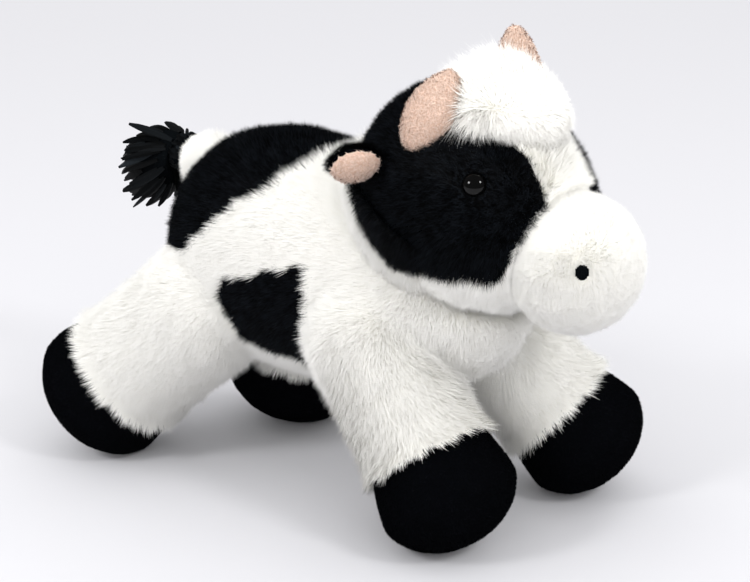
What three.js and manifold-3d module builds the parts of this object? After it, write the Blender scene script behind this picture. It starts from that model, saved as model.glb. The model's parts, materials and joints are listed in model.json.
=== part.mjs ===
// A plush cow that stands on four splayed feet.
//
// Millimetres. +X points to the muzzle, +Y to the cow's left and +Z up. The origin is on the
// ground, under the middle of the toy. Every stuffed part is a cloth shell round a filling of its
// own. The head, legs, ears and tail end in balls that turn in round dishes, where the real
// toy's cloth folds at its seams.

import * as THREE from "three";
import { mergeVertices } from "three/addons/utils/BufferGeometryUtils.js";
import Module from "manifold-3d";

const wasm = await Module();
wasm.setup();

const { cos, sin, sqrt, PI } = Math;
const radians = THREE.MathUtils.degToRad;
const point = (x, y, z) => new THREE.Vector3(x, y, z);
const FORWARD = point(1, 0, 0);
const LEFT = point(0, 1, 0);
const UP = point(0, 0, 1);

// Cloth and fits
const PLUSH_WALL = 3; // the plush's backing with its packed pile
const MUZZLE_WALL = 2.4; // the muzzle's shorter plush
const FLEECE_WALL = 2; // the curly cloth of horns and ear linings
const SEAM_GAP = 0.4; // between two cloths that are sewn together
const FILLING_GAP = 0.3; // between a cloth and its filling
const DISH_GAP = 0.9; // between a ball and the dish that it turns in
const SWING_SLACK = 1.7; // how much more room than that a limb has where it swings

// Torso: the stops of its line, from rump to chest, each a place, a half width and a half height
const TORSO_STOPS = [
  [point(-112, 0, 101), 50, 44],
  [point(-66, 0, 114), 57, 58],
  [point(-8, 0, 111), 53, 53],
  [point(44, 0, 107), 45, 43],
  [point(92, 0, 102), 37, 34],
];

// Head: a ball, a snout that tapers to the muzzle, and the muzzle's own oval
const HEAD_RADIUS = 46.5;
const HEAD_CENTRE = point(63, 0, 165);
const SNOUT_RADIUS = 45;
const SNOUT_END_RADIUS = 29;
const SNOUT_BACK = 20; // how far behind the head's centre the snout's taper starts
const MUZZLE_LENGTH = 56;
const MUZZLE_WIDTH = 60;
const MUZZLE_HEIGHT = 60;
const MUZZLE_CENTRE = point(127, 0, 140);
const HEAD_TURN = 20; // degrees, each way
const NOD_DOWN = 5; // degrees, until the chin meets the chest
const NOD_UP = 15; // degrees

// Neck: a bowl of padded plush between head and torso
const NECK_THICKNESS = 4;
const NECK_RIM = 13; // how far its rim lies under the head's centre
const NECK_TILT = 30; // degrees that the rim drops towards the chest

// Colour panels: the outlines of the flat patterns that they are cut from
// The white blaze seen from ahead: half widths at heights above the head's centre
const BLAZE_HALF = [
  [27, -37],
  [26, -13],
  [15, 1],
  [14, 21],
  [21, 35],
  [22, 57],
];
const BLAZE_BACK = 17; // how far ahead of the head's centre the blaze starts
const CHIN_DROP = 31; // from the head's centre down to the seam of chin and face patches
// The black patches seen from the side, in x and z
const SADDLE_OUTLINE = [
  [-14, 190],
  [-16, 167],
  [-22, 160],
  [-26, 152],
  [-38, 145],
  [-48, 136],
  [-58, 127],
  [-70, 118],
  [-84, 106],
  [-93, 104],
  [-100, 116],
  [-130, 126],
  [-130, 190],
];
const FLANK_OUTLINE = [
  [-52, 90],
  [-46, 104],
  [-38, 114],
  [-28, 111],
  [-14, 119],
  [8, 124],
  [11, 104],
  [12, 76],
  [4, 66],
  [-8, 75],
  [-24, 75],
  [-42, 79],
];
const FLANK_DEPTH = 20; // how far from the middle plane a flank patch may start

// Horns, which lean each their own way
const HORN_ROOT_RADIUS = 9;
const HORN_RADIUS = 11.5;
const HORN_TIP_RADIUS = 7;
const HORN_AZIMUTH = 85.4; // degrees from straight ahead to a horn's base on the head
const HORN_ELEVATION = 34; // degrees above level
const HORN_SINK = 1.8; // how far its base is sewn into the head
const HORN_RUN_RIGHT = point(11, 12, 32); // from its base to its tip
const HORN_RUN_LEFT = point(4, -12, 45);

// Ears, for the cow's left side
const EAR_AZIMUTH = 104.5; // degrees from straight ahead to an ear's hinge on the head
const EAR_ELEVATION = 17.7; // degrees above level
const EAR_SINK = 0.4; // how far under the head's face the hinge lies
const EAR_RUN = point(-10, 22.5, 3); // from its hinge to its tip
const EAR_ROOT_WIDTH = 13;
const EAR_WIDTH = 22;
const EAR_BACK = 5; // thickness of the black half
const EAR_LINING = 7; // thickness of the curly half
const EAR_TILT = 42; // degrees that the front edge is raised
const EAR_BALL_RADIUS = 4.5;
const EAR_START = 0.06; // the share of its line that the ball takes

// Forelock, a padded tuft under its long pile
const FORELOCK_ELEVATION = 54.5; // degrees above level, straight ahead
const FORELOCK_SINK = 3.5; // how far its middle lies under the head's face
const FORELOCK_LENGTH = 52;
const FORELOCK_WIDTH = 50;
const FORELOCK_HEIGHT = 40;

// Eyes, with their posts and washers
const EYE_RADIUS = 5.4;
const EYE_DOME = 3.6;
const EYE_AZIMUTH = 45; // degrees from straight ahead
const EYE_ELEVATION = 13; // degrees above level
const POST_RADIUS = 1.6;
const POST_CLEARANCE = 0.3;
const WASHER_RADIUS = 5.5;
const WASHER_THICKNESS = 1.6;
const POST_END = 2; // how far a post stands out of its washer

// Nostrils: embroidered dots
const NOSTRIL_RADIUS = 2.8;
const NOSTRIL_THICKNESS = 1;
const NOSTRIL_AZIMUTH = 48;
const NOSTRIL_ELEVATION = 8;

// Legs, for the cow's left side: hips, radii down to the seam with the hoof, and feet
const FRONT_HIP = point(33, 32, 92);
const FRONT_HIP_RADIUS = 27;
const FRONT_THIGH_RADIUS = 27;
const FRONT_CUFF_RADIUS = 27;
const FRONT_HOOF_RADIUS = 39;
const FRONT_RIGHT_FOOT = [86, -35];
const FRONT_LEFT_FOOT = [89, 64];
const REAR_HIP = point(-73, 37, 85);
const REAR_HIP_RADIUS = 31.5;
const REAR_THIGH_RADIUS = 31;
const REAR_CUFF_RADIUS = 31;
const REAR_HOOF_RADIUS = 44;
const REAR_RIGHT_FOOT = [-130, -61];
const REAR_LEFT_FOOT = [-91, 42];
const CUFF_TO_FOOT = 22; // from the seam of leg and hoof to the hoof's centre
const HOOF_TIP = 24; // from the hoof's centre to its rounded end
const SOLE_DEPTH = 0.5; // how much of the hoof is pressed flat
const PELLET_DROP = 3; // from the seam down to the pellets in the hoof
const LEG_SWING = 15; // degrees, each way
const LEG_MARGIN = 4; // degrees more than that which the torso leaves free

// Tail
const TAIL_RADIUS = 10.5;
const TAIL_ROOT = point(-98, 0, 143);
const TAIL_END = point(-131, 0, 149);
const TAIL_SWING = 25; // degrees, each way
const TASSEL_LENGTH = 32;
const TASSEL_DROOP = 25; // how far its strands hang under its tie
const TASSEL_RADIUS = 18;
const TASSEL_TIE_RADIUS = 8;

// How finely the forms are faceted: sides around, rings along
const FINE = [20, 16];
const MEDIUM = [14, 10];
const COARSE = [10, 8];
const BAR_SIDES = 12;
const EYE_SIDES = 16;
const EYE_RINGS = 4; // over its dome

// Farther than any piece reaches, for what is cut through
const FAR = 400;

/** A closed solid from a geometry, whose shared corners are merged first. */
function solidOf(geometry) {
  const bare = geometry.index ? geometry.toNonIndexed() : geometry.clone();
  for (const name of Object.keys(bare.attributes)) {
    if (name !== "position") bare.deleteAttribute(name);
  }
  const merged = mergeVertices(bare, 1e-3);
  return new wasm.Manifold(
    new wasm.Mesh({
      numProp: 3,
      vertProperties: merged.attributes.position.array,
      triVerts: new Uint32Array(merged.index.array),
    }),
  );
}

/** The geometry of a solid. */
function geometryOf(solid) {
  const mesh = solid.getMesh();
  return new THREE.BufferGeometry()
    .setAttribute("position", new THREE.BufferAttribute(mesh.vertProperties, 3))
    .setIndex(new THREE.BufferAttribute(mesh.triVerts, 1));
}

/** The union of several solids. */
const joined = (solids) => solids.reduce((sum, next) => sum.add(next));

/** What is left of a solid when others are cut from it. */
const cut = (solid, ...others) => others.reduce((rest, other) => rest.subtract(other), solid);

/** Two directions square to a third: the first as near to side as it can be. */
function squareTo(forward, side) {
  const across = side.clone().addScaledVector(forward, -side.dot(forward)).normalize();
  return [across, forward.clone().cross(across)];
}

/** A point on an oval ring about a centre. */
function ringPoint(centre, [across, over], [wide, tall], around) {
  return centre
    .clone()
    .addScaledVector(across, wide * cos(around))
    .addScaledVector(over, tall * sin(around));
}

/** The smooth line and sizes through stops, each a place, a half width and a half height. */
function sectionsThrough(stops, side) {
  const line = new THREE.CatmullRomCurve3(stops.map(([centre]) => centre));
  const sizes = new THREE.CatmullRomCurve3(stops.map(([, wide, tall]) => point(wide, tall, 0)));
  return (share, cap, around) => {
    const { x: wide, y: tall } = sizes.getPoint(share).multiplyScalar(cap);
    const frame = squareTo(line.getTangent(share), side);
    return ringPoint(line.getPoint(share), frame, [wide, tall], around);
  };
}

/** A stuffed form along stops, with rounded ends: a larger blunt closes them more squarely. */
function stuffedForm(stops, { side = LEFT, blunt = 3 } = {}) {
  const section = sectionsThrough(stops, side);
  return (along, around) => {
    const share = (1 - cos(PI * along)) / 2;
    const cap = sqrt(Math.max(0, 1 - Math.abs(2 * share - 1) ** blunt));
    return section(share, cap, around);
  };
}

/** A form that starts as a ball round its first stop, and closes in a rounded end. */
function limbForm(stops, { side = LEFT, blunt = 6, ballShare = 0.3 } = {}) {
  const section = sectionsThrough(stops, side);
  const [start, , ball] = stops[0];
  const heading = new THREE.CatmullRomCurve3(stops.map(([centre]) => centre)).getTangent(0);
  const frame = squareTo(heading, side);
  return (along, around) => {
    if (along < ballShare) {
      const angle = ((PI / 2) * along) / ballShare;
      const centre = start.clone().addScaledVector(heading, -ball * cos(angle));
      return ringPoint(centre, frame, [ball * sin(angle), ball * sin(angle)], around);
    }
    const share = sin(((PI / 2) * (along - ballShare)) / (1 - ballShare));
    const cap = sqrt(Math.max(0, 1 - share ** blunt));
    return section(share, cap, around);
  };
}

/** An oval with half sizes forward, sideways and upward. */
function ovalForm(centre, [long, wide, tall]) {
  return (along, around) => {
    const middle = centre.clone().addScaledVector(FORWARD, -long * cos(PI * along));
    const girth = sin(PI * along);
    return ringPoint(middle, [LEFT, UP], [wide * girth, tall * girth], around);
  };
}

const ballForm = (centre, radius) => ovalForm(centre, [radius, radius, radius]);

/** The solid of a form, grown outwards by a distance, or inwards where it is negative. */
function solidForm(form, [sides, rings], grow = 0) {
  const corners = [form(0, 0)];
  for (let ring = 1; ring < rings; ring += 1) {
    for (let step = 0; step < sides; step += 1) {
      corners.push(form(ring / rings, (2 * PI * step) / sides));
    }
  }
  corners.push(form(1, 0));
  const last = corners.length - 1;
  const corner = (ring, step) => 1 + ring * sides + (step % sides);
  const faces = [];
  for (let step = 0; step < sides; step += 1) {
    faces.push(0, corner(0, step + 1), corner(0, step));
    for (let ring = 0; ring < rings - 2; ring += 1) {
      const [a, b] = [corner(ring, step), corner(ring, step + 1)];
      const [c, d] = [corner(ring + 1, step + 1), corner(ring + 1, step)];
      faces.push(a, b, c, a, c, d);
    }
    faces.push(last, corner(rings - 2, step), corner(rings - 2, step + 1));
  }
  const geometry = new THREE.BufferGeometry().setFromPoints(corners).setIndex(faces);
  geometry.computeVertexNormals();
  const { position, normal } = geometry.attributes;
  const place = new THREE.Vector3();
  const out = new THREE.Vector3();
  for (let i = 0; i < position.count; i += 1) {
    place.fromBufferAttribute(position, i);
    place.addScaledVector(out.fromBufferAttribute(normal, i), grow);
    position.setXYZ(i, place.x, place.y, place.z);
  }
  return solidOf(geometry);
}

/** The half space beyond a plane, as a block that starts at a point of the plane. */
function beyond(centre, way) {
  const block = new THREE.BoxGeometry(2 * FAR, 2 * FAR, FAR).translate(0, 0, FAR / 2);
  const turn = new THREE.Quaternion().setFromUnitVectors(UP, way.clone().normalize());
  return solidOf(block.applyQuaternion(turn).translate(centre.x, centre.y, centre.z));
}

/** A round bar from one distance to another along a way from a point. */
function bar(centre, way, radius, from, to) {
  const length = to - from;
  const cylinder = new THREE.CylinderGeometry(radius, radius, length, BAR_SIDES)
    .translate(0, from + length / 2, 0)
    .applyQuaternion(new THREE.Quaternion().setFromUnitVectors(LEFT, way));
  return solidOf(cylinder.translate(centre.x, centre.y, centre.z));
}

/** An outline's corners, moved outwards by a distance. */
function grownOutline(corners, grow) {
  const turn = Math.sign(THREE.ShapeUtils.area(corners));
  return corners.map((here, i) => {
    const arrive = here.clone().sub(corners.at(i - 1)).normalize();
    const leave = corners[(i + 1) % corners.length].clone().sub(here).normalize();
    const along = arrive.clone().add(leave).normalize();
    const out = new THREE.Vector2(along.y, -along.x).multiplyScalar(turn);
    return here.clone().addScaledVector(out, grow / arrive.dot(along));
  });
}

/** A prism over an outline in the plane of two directions, from one distance to another. */
function prism(outline, across, over, from, to, grow = 0) {
  const corners = grownOutline(outline.map(([x, y]) => new THREE.Vector2(x, y)), grow);
  const geometry = new THREE.ExtrudeGeometry(new THREE.Shape(corners), {
    depth: to - from,
    bevelEnabled: false,
  }).translate(0, 0, from);
  const depthway = across.clone().cross(over);
  return solidOf(geometry.applyMatrix4(new THREE.Matrix4().makeBasis(across, over, depthway)));
}

/** The direction at an azimuth from straight ahead and an elevation, both in degrees. */
function headed(azimuth, elevation) {
  const [turn, lift] = [radians(azimuth), radians(elevation)];
  return point(cos(turn) * cos(lift), sin(turn) * cos(lift), sin(lift));
}

/** Where a line out of a point leaves a solid, and the way that its face looks there. */
function seatOn(solid, from, way) {
  const mesh = new THREE.Mesh(geometryOf(solid));
  const start = from.clone().addScaledVector(way, FAR);
  const [hit] = new THREE.Raycaster(start, way.clone().negate()).intersectObject(mesh);
  return { place: hit.point, out: hit.face.normal.clone() };
}

/** The same place on the cow's other side. */
const mirrored = ({ x, y, z }) => point(x, -y, z);
const sides = { right: mirrored, left: (place) => place.clone() };

const materials = {
  white_plush: new THREE.MeshStandardMaterial({ color: 0xf4f3ec, roughness: 0.95 }),
  black_plush: new THREE.MeshStandardMaterial({ color: 0x17171c, roughness: 0.9 }),
  velour: new THREE.MeshStandardMaterial({ color: 0x0c0c0f, roughness: 0.95 }),
  fleece: new THREE.MeshStandardMaterial({ color: 0xe8c5ab, roughness: 0.9 }),
  filling: new THREE.MeshStandardMaterial({ color: 0xf7f7f4, roughness: 1 }),
  pellets: new THREE.MeshStandardMaterial({ color: 0xd9d5cb, roughness: 0.8 }),
  yarn: new THREE.MeshStandardMaterial({ color: 0x0d1012, roughness: 0.9 }),
  eye_plastic: new THREE.MeshStandardMaterial({ color: 0x050506, roughness: 0.08 }),
  washer_plastic: new THREE.MeshStandardMaterial({ color: 0xe8e8e4, roughness: 0.4 }),
};

const cow = new THREE.Group();

/** Adds a named piece of one material. */
function addPiece(name, solid, material) {
  const mesh = new THREE.Mesh(geometryOf(solid), materials[material]);
  mesh.name = name;
  cow.add(mesh);
}

// Legs

/** A leg's form and the plane of its cuff, for a hoof centre at a given height. */
function planLeg({ hip, foot: [x, y], hipRadius, thighRadius, cuffRadius, hoofRadius }, height) {
  const centre = point(x, y, height);
  const down = centre.clone().sub(hip).normalize();
  const cuff = centre.clone().addScaledVector(down, -CUFF_TO_FOOT);
  const form = limbForm([
    [hip, hipRadius, hipRadius],
    [hip.clone().lerp(cuff, 0.5), thighRadius, thighRadius],
    [cuff, cuffRadius, cuffRadius],
    [centre, hoofRadius, hoofRadius],
    [centre.clone().addScaledVector(down, HOOF_TIP), hoofRadius, hoofRadius],
  ]);
  return { form, cuff, down };
}

/** The leg whose hoof reaches SOLE_DEPTH under the ground, where it is pressed flat. */
function standLeg(plan) {
  let height = plan.hoofRadius;
  for (let pass = 0; pass < 4; pass += 1) {
    const lowest = solidForm(planLeg(plan, height).form, MEDIUM).boundingBox().min[2];
    height -= lowest + SOLE_DEPTH;
  }
  return { ...plan, ...planLeg(plan, height) };
}

const frontLeg = {
  hipRadius: FRONT_HIP_RADIUS,
  thighRadius: FRONT_THIGH_RADIUS,
  cuffRadius: FRONT_CUFF_RADIUS,
  hoofRadius: FRONT_HOOF_RADIUS,
};
const rearLeg = {
  hipRadius: REAR_HIP_RADIUS,
  thighRadius: REAR_THIGH_RADIUS,
  cuffRadius: REAR_CUFF_RADIUS,
  hoofRadius: REAR_HOOF_RADIUS,
};
const legs = {
  front_right: standLeg({ ...frontLeg, hip: mirrored(FRONT_HIP), foot: FRONT_RIGHT_FOOT }),
  front_left: standLeg({ ...frontLeg, hip: FRONT_HIP, foot: FRONT_LEFT_FOOT }),
  rear_right: standLeg({ ...rearLeg, hip: mirrored(REAR_HIP), foot: REAR_RIGHT_FOOT }),
  rear_left: standLeg({ ...rearLeg, hip: REAR_HIP, foot: REAR_LEFT_FOOT }),
};

/** Adds a leg's sleeve with its filling, and its hoof with its pellets. */
function addLeg(name, { form, cuff, down }) {
  const toHoof = (distance) => beyond(cuff.clone().addScaledVector(down, distance), down);
  const toHip = beyond(cuff.clone().addScaledVector(down, -SEAM_GAP / 2), down.clone().negate());
  const outer = solidForm(form, MEDIUM).intersect(beyond(point(0, 0, 0), UP));
  const inner = solidForm(form, COARSE, -PLUSH_WALL);
  const filling = solidForm(form, COARSE, -PLUSH_WALL - FILLING_GAP);
  addPiece(`leg_cover_${name}`, cut(outer.intersect(toHip), inner), "white_plush");
  addPiece(`leg_filling_${name}`, filling.intersect(toHip), "filling");
  addPiece(`hoof_cover_${name}`, cut(outer.intersect(toHoof(SEAM_GAP / 2)), inner), "velour");
  addPiece(`hoof_pellets_${name}`, filling.intersect(toHoof(PELLET_DROP)), "pellets");
}

for (const [name, leg] of Object.entries(legs)) addLeg(name, leg);

// The forms of head, neck and tail, which the torso makes room for

const toMuzzle = MUZZLE_CENTRE.clone().sub(HEAD_CENTRE).normalize();
const headForms = [
  [ballForm(HEAD_CENTRE, HEAD_RADIUS), FINE],
  [
    stuffedForm([
      [HEAD_CENTRE.clone().addScaledVector(toMuzzle, -SNOUT_BACK), SNOUT_RADIUS, SNOUT_RADIUS],
      [HEAD_CENTRE.clone().addScaledVector(toMuzzle, SNOUT_BACK), SNOUT_RADIUS, SNOUT_RADIUS],
      [MUZZLE_CENTRE, SNOUT_END_RADIUS, SNOUT_END_RADIUS],
    ]),
    MEDIUM,
  ],
];
const [, [snoutForm]] = headForms;
const headSolid = (grow) => joined(headForms.map(([form, fine]) => solidForm(form, fine, grow)));
const headInside = (grow) => joined(headForms.map(([form]) => solidForm(form, COARSE, grow)));
const muzzleForm = ovalForm(MUZZLE_CENTRE, [MUZZLE_LENGTH / 2, MUZZLE_WIDTH / 2, MUZZLE_HEIGHT / 2]);
const muzzleSolid = (grow) => solidForm(muzzleForm, MEDIUM, grow);

const tailWay = TAIL_END.clone().sub(TAIL_ROOT).normalize();
const tailForm = limbForm(
  [
    [TAIL_ROOT, TAIL_RADIUS, TAIL_RADIUS],
    [TAIL_ROOT.clone().lerp(TAIL_END, 0.5), TAIL_RADIUS, TAIL_RADIUS],
    [TAIL_END, TAIL_RADIUS, TAIL_RADIUS],
    [TAIL_END.clone().addScaledVector(tailWay, TAIL_RADIUS), TAIL_RADIUS, TAIL_RADIUS],
  ],
  { blunt: 12 },
);

/**
 * The room that a limb needs as it swings each way: a ball at its pivot that widens like a fan.
 * Each stop is a distance along the limb and the limb's radius there.
 */
function swingRoom(pivot, way, axis, range, ball, stops) {
  const half = radians(range);
  const fan = stops.map(([distance, radius]) => [
    pivot.clone().addScaledVector(way, distance),
    (radius + SWING_SLACK) / cos(half) + distance * Math.tan(half),
    radius + SWING_SLACK,
  ]);
  const side = axis.clone().cross(way).normalize();
  return limbForm([[pivot, ball, ball], ...fan], { side, blunt: 12, ballShare: 0.45 });
}

const legRooms = Object.values(legs).map(({ hip, cuff, down, hipRadius, thighRadius }) => {
  const reach = hip.distanceTo(cuff);
  const stops = [
    [reach / 2, thighRadius],
    [reach + thighRadius, thighRadius],
  ];
  return swingRoom(hip, down, LEFT, LEG_SWING + LEG_MARGIN, hipRadius, stops);
});
const tailRoom = swingRoom(TAIL_ROOT, tailWay, UP, TAIL_SWING, TAIL_RADIUS, [
  [2 * TAIL_RADIUS, TAIL_RADIUS],
  [TAIL_ROOT.distanceTo(TAIL_END), TAIL_RADIUS],
]);
const snoutStops = [
  [SNOUT_BACK, SNOUT_RADIUS],
  [HEAD_CENTRE.distanceTo(MUZZLE_CENTRE), SNOUT_END_RADIUS],
];
const chinWay = toMuzzle.clone().applyAxisAngle(LEFT, radians(NOD_DOWN));
const chinRoom = swingRoom(HEAD_CENTRE, chinWay, UP, HEAD_TURN, SNOUT_RADIUS, snoutStops);
const nodWay = toMuzzle.clone().applyAxisAngle(LEFT, radians((NOD_DOWN - NOD_UP) / 2));
const nodRange = (NOD_DOWN + NOD_UP) / 2;
const nodRoom = swingRoom(HEAD_CENTRE, nodWay, LEFT, nodRange, SNOUT_RADIUS, snoutStops);
const neckInside = HEAD_RADIUS + DISH_GAP;
const neckOutside = neckInside + NECK_THICKNESS;
const neckRoom = ballForm(HEAD_CENTRE, neckOutside);

/** All the dishes of the torso, with the wall that stands behind them. */
const dishes = (wall) =>
  joined(
    [neckRoom, chinRoom, tailRoom, ...legRooms].map((room) =>
      solidForm(room, wall ? COARSE : FINE, DISH_GAP + wall),
    ),
  );

// Neck

const rimPlace = HEAD_CENTRE.clone().addScaledVector(UP, -NECK_RIM);
const rimWay = point(-sin(radians(NECK_TILT)), 0, -cos(radians(NECK_TILT)));
const neck = cut(
  solidForm(ballForm(HEAD_CENTRE, neckOutside), FINE).intersect(beyond(rimPlace, rimWay)),
  solidForm(ballForm(HEAD_CENTRE, neckInside), FINE),
  solidForm(nodRoom, MEDIUM, DISH_GAP),
);
addPiece("neck_cover", neck, "white_plush");

// Torso

const torsoForm = stuffedForm(TORSO_STOPS);
const torsoShell = cut(
  cut(solidForm(torsoForm, FINE), dishes(0)),
  cut(solidForm(torsoForm, COARSE, -PLUSH_WALL), dishes(PLUSH_WALL)),
);
const flankPrism = (grow) =>
  prism(FLANK_OUTLINE, FORWARD, UP, FLANK_DEPTH, FAR, grow);
const saddlePrism = (grow) =>
  prism(SADDLE_OUTLINE, FORWARD, UP, -FAR, FAR, grow);
const leftFlankPrism = (grow) =>
  prism(FLANK_OUTLINE, FORWARD, UP, -FAR, -FLANK_DEPTH, grow);
addPiece(
  "torso_cover",
  cut(torsoShell, saddlePrism(SEAM_GAP), flankPrism(SEAM_GAP), leftFlankPrism(SEAM_GAP)),
  "white_plush",
);
addPiece("saddle_patch", torsoShell.intersect(saddlePrism(0)), "black_plush");
addPiece("flank_patch_right", torsoShell.intersect(flankPrism(0)), "black_plush");
addPiece("flank_patch_left", torsoShell.intersect(leftFlankPrism(0)), "black_plush");
addPiece(
  "torso_filling",
  cut(
    solidForm(torsoForm, COARSE, -PLUSH_WALL - FILLING_GAP),
    dishes(PLUSH_WALL + FILLING_GAP),
  ),
  "filling",
);

// Tail

const toTassel = beyond(TAIL_END, tailWay);
const tailInside = (grow) => solidForm(tailForm, COARSE, grow);
const tailSleeve = cut(solidForm(tailForm, MEDIUM), toTassel, tailInside(-PLUSH_WALL));
addPiece("tail_cover", tailSleeve, "white_plush");
addPiece("tail_filling", cut(tailInside(-PLUSH_WALL - FILLING_GAP), toTassel), "filling");
const tasselStop = (distance, drop, radius) => {
  const place = TAIL_END.clone().addScaledVector(tailWay, distance).addScaledVector(UP, -drop);
  return [place, radius, radius];
};
const tasselForm = stuffedForm(
  [
    tasselStop(-TASSEL_TIE_RADIUS, 0, TASSEL_TIE_RADIUS),
    tasselStop(TASSEL_LENGTH / 2, TASSEL_DROOP / 3, TASSEL_RADIUS),
    tasselStop(TASSEL_LENGTH, TASSEL_DROOP, TASSEL_RADIUS),
  ],
  { blunt: 5 },
);
const pastTie = beyond(TAIL_END.clone().addScaledVector(tailWay, SEAM_GAP), tailWay);
addPiece("tail_tassel", solidForm(tasselForm, MEDIUM).intersect(pastTie), "yarn");

// Horns, forelock and ears

/** A place in the head, under its ball's face, at an azimuth and an elevation. */
const onHead = (azimuth, elevation, sink) =>
  HEAD_CENTRE.clone().addScaledVector(headed(azimuth, elevation), HEAD_RADIUS - sink);

const hornBase = onHead(HORN_AZIMUTH, HORN_ELEVATION, HORN_SINK);
const hornPlans = {
  right: [mirrored(hornBase), mirrored(hornBase).add(HORN_RUN_RIGHT)],
  left: [hornBase, hornBase.clone().add(HORN_RUN_LEFT)],
};
const hornForm = ([base, tip]) =>
  stuffedForm([
    [base.clone().lerp(tip, -0.15), HORN_ROOT_RADIUS, HORN_ROOT_RADIUS],
    [base.clone().lerp(tip, 0.4), HORN_RADIUS, HORN_RADIUS],
    [tip, HORN_TIP_RADIUS, HORN_TIP_RADIUS],
  ]);
const forelockForm = ovalForm(onHead(0, FORELOCK_ELEVATION, FORELOCK_SINK), [
  FORELOCK_LENGTH / 2,
  FORELOCK_WIDTH / 2,
  FORELOCK_HEIGHT / 2,
]);
const forelock = cut(
  solidForm(forelockForm, MEDIUM),
  headSolid(SEAM_GAP),
  ...Object.values(hornPlans).map((plan) => solidForm(hornForm(plan), COARSE, 2 * SEAM_GAP)),
);
addPiece("forelock", forelock, "white_plush");
for (const [side, plan] of Object.entries(hornPlans)) {
  const form = hornForm(plan);
  const outer = cut(solidForm(form, MEDIUM), headSolid(SEAM_GAP));
  addPiece(`horn_cover_${side}`, cut(outer, solidForm(form, COARSE, -FLEECE_WALL)), "fleece");
  addPiece(
    `horn_filling_${side}`,
    cut(solidForm(form, COARSE, -FLEECE_WALL - FILLING_GAP), headSolid(SEAM_GAP)),
    "filling",
  );
}

/** An ear's hinge for one side of the cow, the way up from its seam, and its halves' form. */
function planEar(side) {
  const root = side(onHead(EAR_AZIMUTH, EAR_ELEVATION, EAR_SINK));
  const tip = root.clone().add(side(EAR_RUN));
  const start = root.clone().lerp(tip, EAR_START);
  const raised = radians(EAR_TILT);
  const width = side(point(cos(raised), 0, sin(raised)));
  const stops = (thickness) => [
    [start, EAR_ROOT_WIDTH / 2, thickness / 2],
    [start.clone().lerp(tip, 0.5), EAR_WIDTH / 2, thickness],
    [tip, EAR_WIDTH / 2, thickness],
  ];
  const [, over] = squareTo(tip.clone().sub(root).normalize(), width);
  const upward = over.z > 0 ? over : over.clone().negate();
  return { root, upward, form: (thickness) => stuffedForm(stops(thickness), { side: width }) };
}

const ears = Object.fromEntries(Object.entries(sides).map(([name, side]) => [name, planEar(side)]));
const earBall = (root, grow) => solidForm(ballForm(root, EAR_BALL_RADIUS), COARSE, grow);
for (const [name, { root, upward, form }] of Object.entries(ears)) {
  const halfGap = upward.clone().multiplyScalar(SEAM_GAP / 2);
  const aboveSeam = beyond(root.clone().add(halfGap), upward);
  const underSeam = beyond(root.clone().sub(halfGap), upward.clone().negate());
  const back = solidForm(form(EAR_BACK), COARSE).intersect(aboveSeam).add(earBall(root, 0));
  const lining = cut(solidForm(form(EAR_LINING), COARSE).intersect(underSeam), earBall(root, SEAM_GAP));
  addPiece(`ear_${name}`, back, "black_plush");
  addPiece(`ear_lining_${name}`, lining, "fleece");
}

/** The room in the head for the balls of the ears. */
const earRoom = (wall) =>
  joined(Object.values(ears).map(({ root }) => earBall(root, DISH_GAP + wall)));

// Eyes

const headOuter = headSolid(0);
const eyeSeats = Object.fromEntries(
  Object.entries(sides).map(([name, side]) => [
    name,
    seatOn(headOuter, HEAD_CENTRE, side(headed(EYE_AZIMUTH, EYE_ELEVATION))),
  ]),
);
const washerTop = -PLUSH_WALL - SEAM_GAP;
const postBottom = washerTop - WASHER_THICKNESS - POST_END;
for (const [name, { place, out }] of Object.entries(eyeSeats)) {
  const profile = [
    new THREE.Vector2(0, postBottom),
    new THREE.Vector2(POST_RADIUS, postBottom),
    new THREE.Vector2(POST_RADIUS, SEAM_GAP),
  ];
  for (let ring = 0; ring <= EYE_RINGS; ring += 1) {
    const angle = ((PI / 2) * ring) / EYE_RINGS;
    profile.push(new THREE.Vector2(EYE_RADIUS * cos(angle), SEAM_GAP + EYE_DOME * sin(angle)));
  }
  profile.at(-1).x = 0;
  const eye = new THREE.LatheGeometry(profile, EYE_SIDES)
    .applyQuaternion(new THREE.Quaternion().setFromUnitVectors(LEFT, out))
    .translate(place.x, place.y, place.z);
  addPiece(`eye_${name}`, solidOf(eye), "eye_plastic");
  const washer = cut(
    bar(place, out, WASHER_RADIUS, washerTop - WASHER_THICKNESS, washerTop),
    bar(place, out, POST_RADIUS + POST_CLEARANCE, postBottom, 0),
  );
  addPiece(`eye_washer_${name}`, washer, "washer_plastic");
}
const postHoles = joined(
  Object.values(eyeSeats).map(({ place, out }) =>
    bar(place, out, POST_RADIUS + POST_CLEARANCE, 2 * postBottom, EYE_RADIUS),
  ),
);
const washerRoom = joined(
  Object.values(eyeSeats).map(({ place, out }) =>
    bar(place, out, WASHER_RADIUS + FILLING_GAP, postBottom - FILLING_GAP, -PLUSH_WALL),
  ),
);
const eyeBeds = joined(
  Object.values(eyeSeats).map(({ place, out }) =>
    bar(place, out, EYE_RADIUS + SEAM_GAP, 0, EYE_RADIUS + EYE_DOME),
  ),
);

// Head

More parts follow.
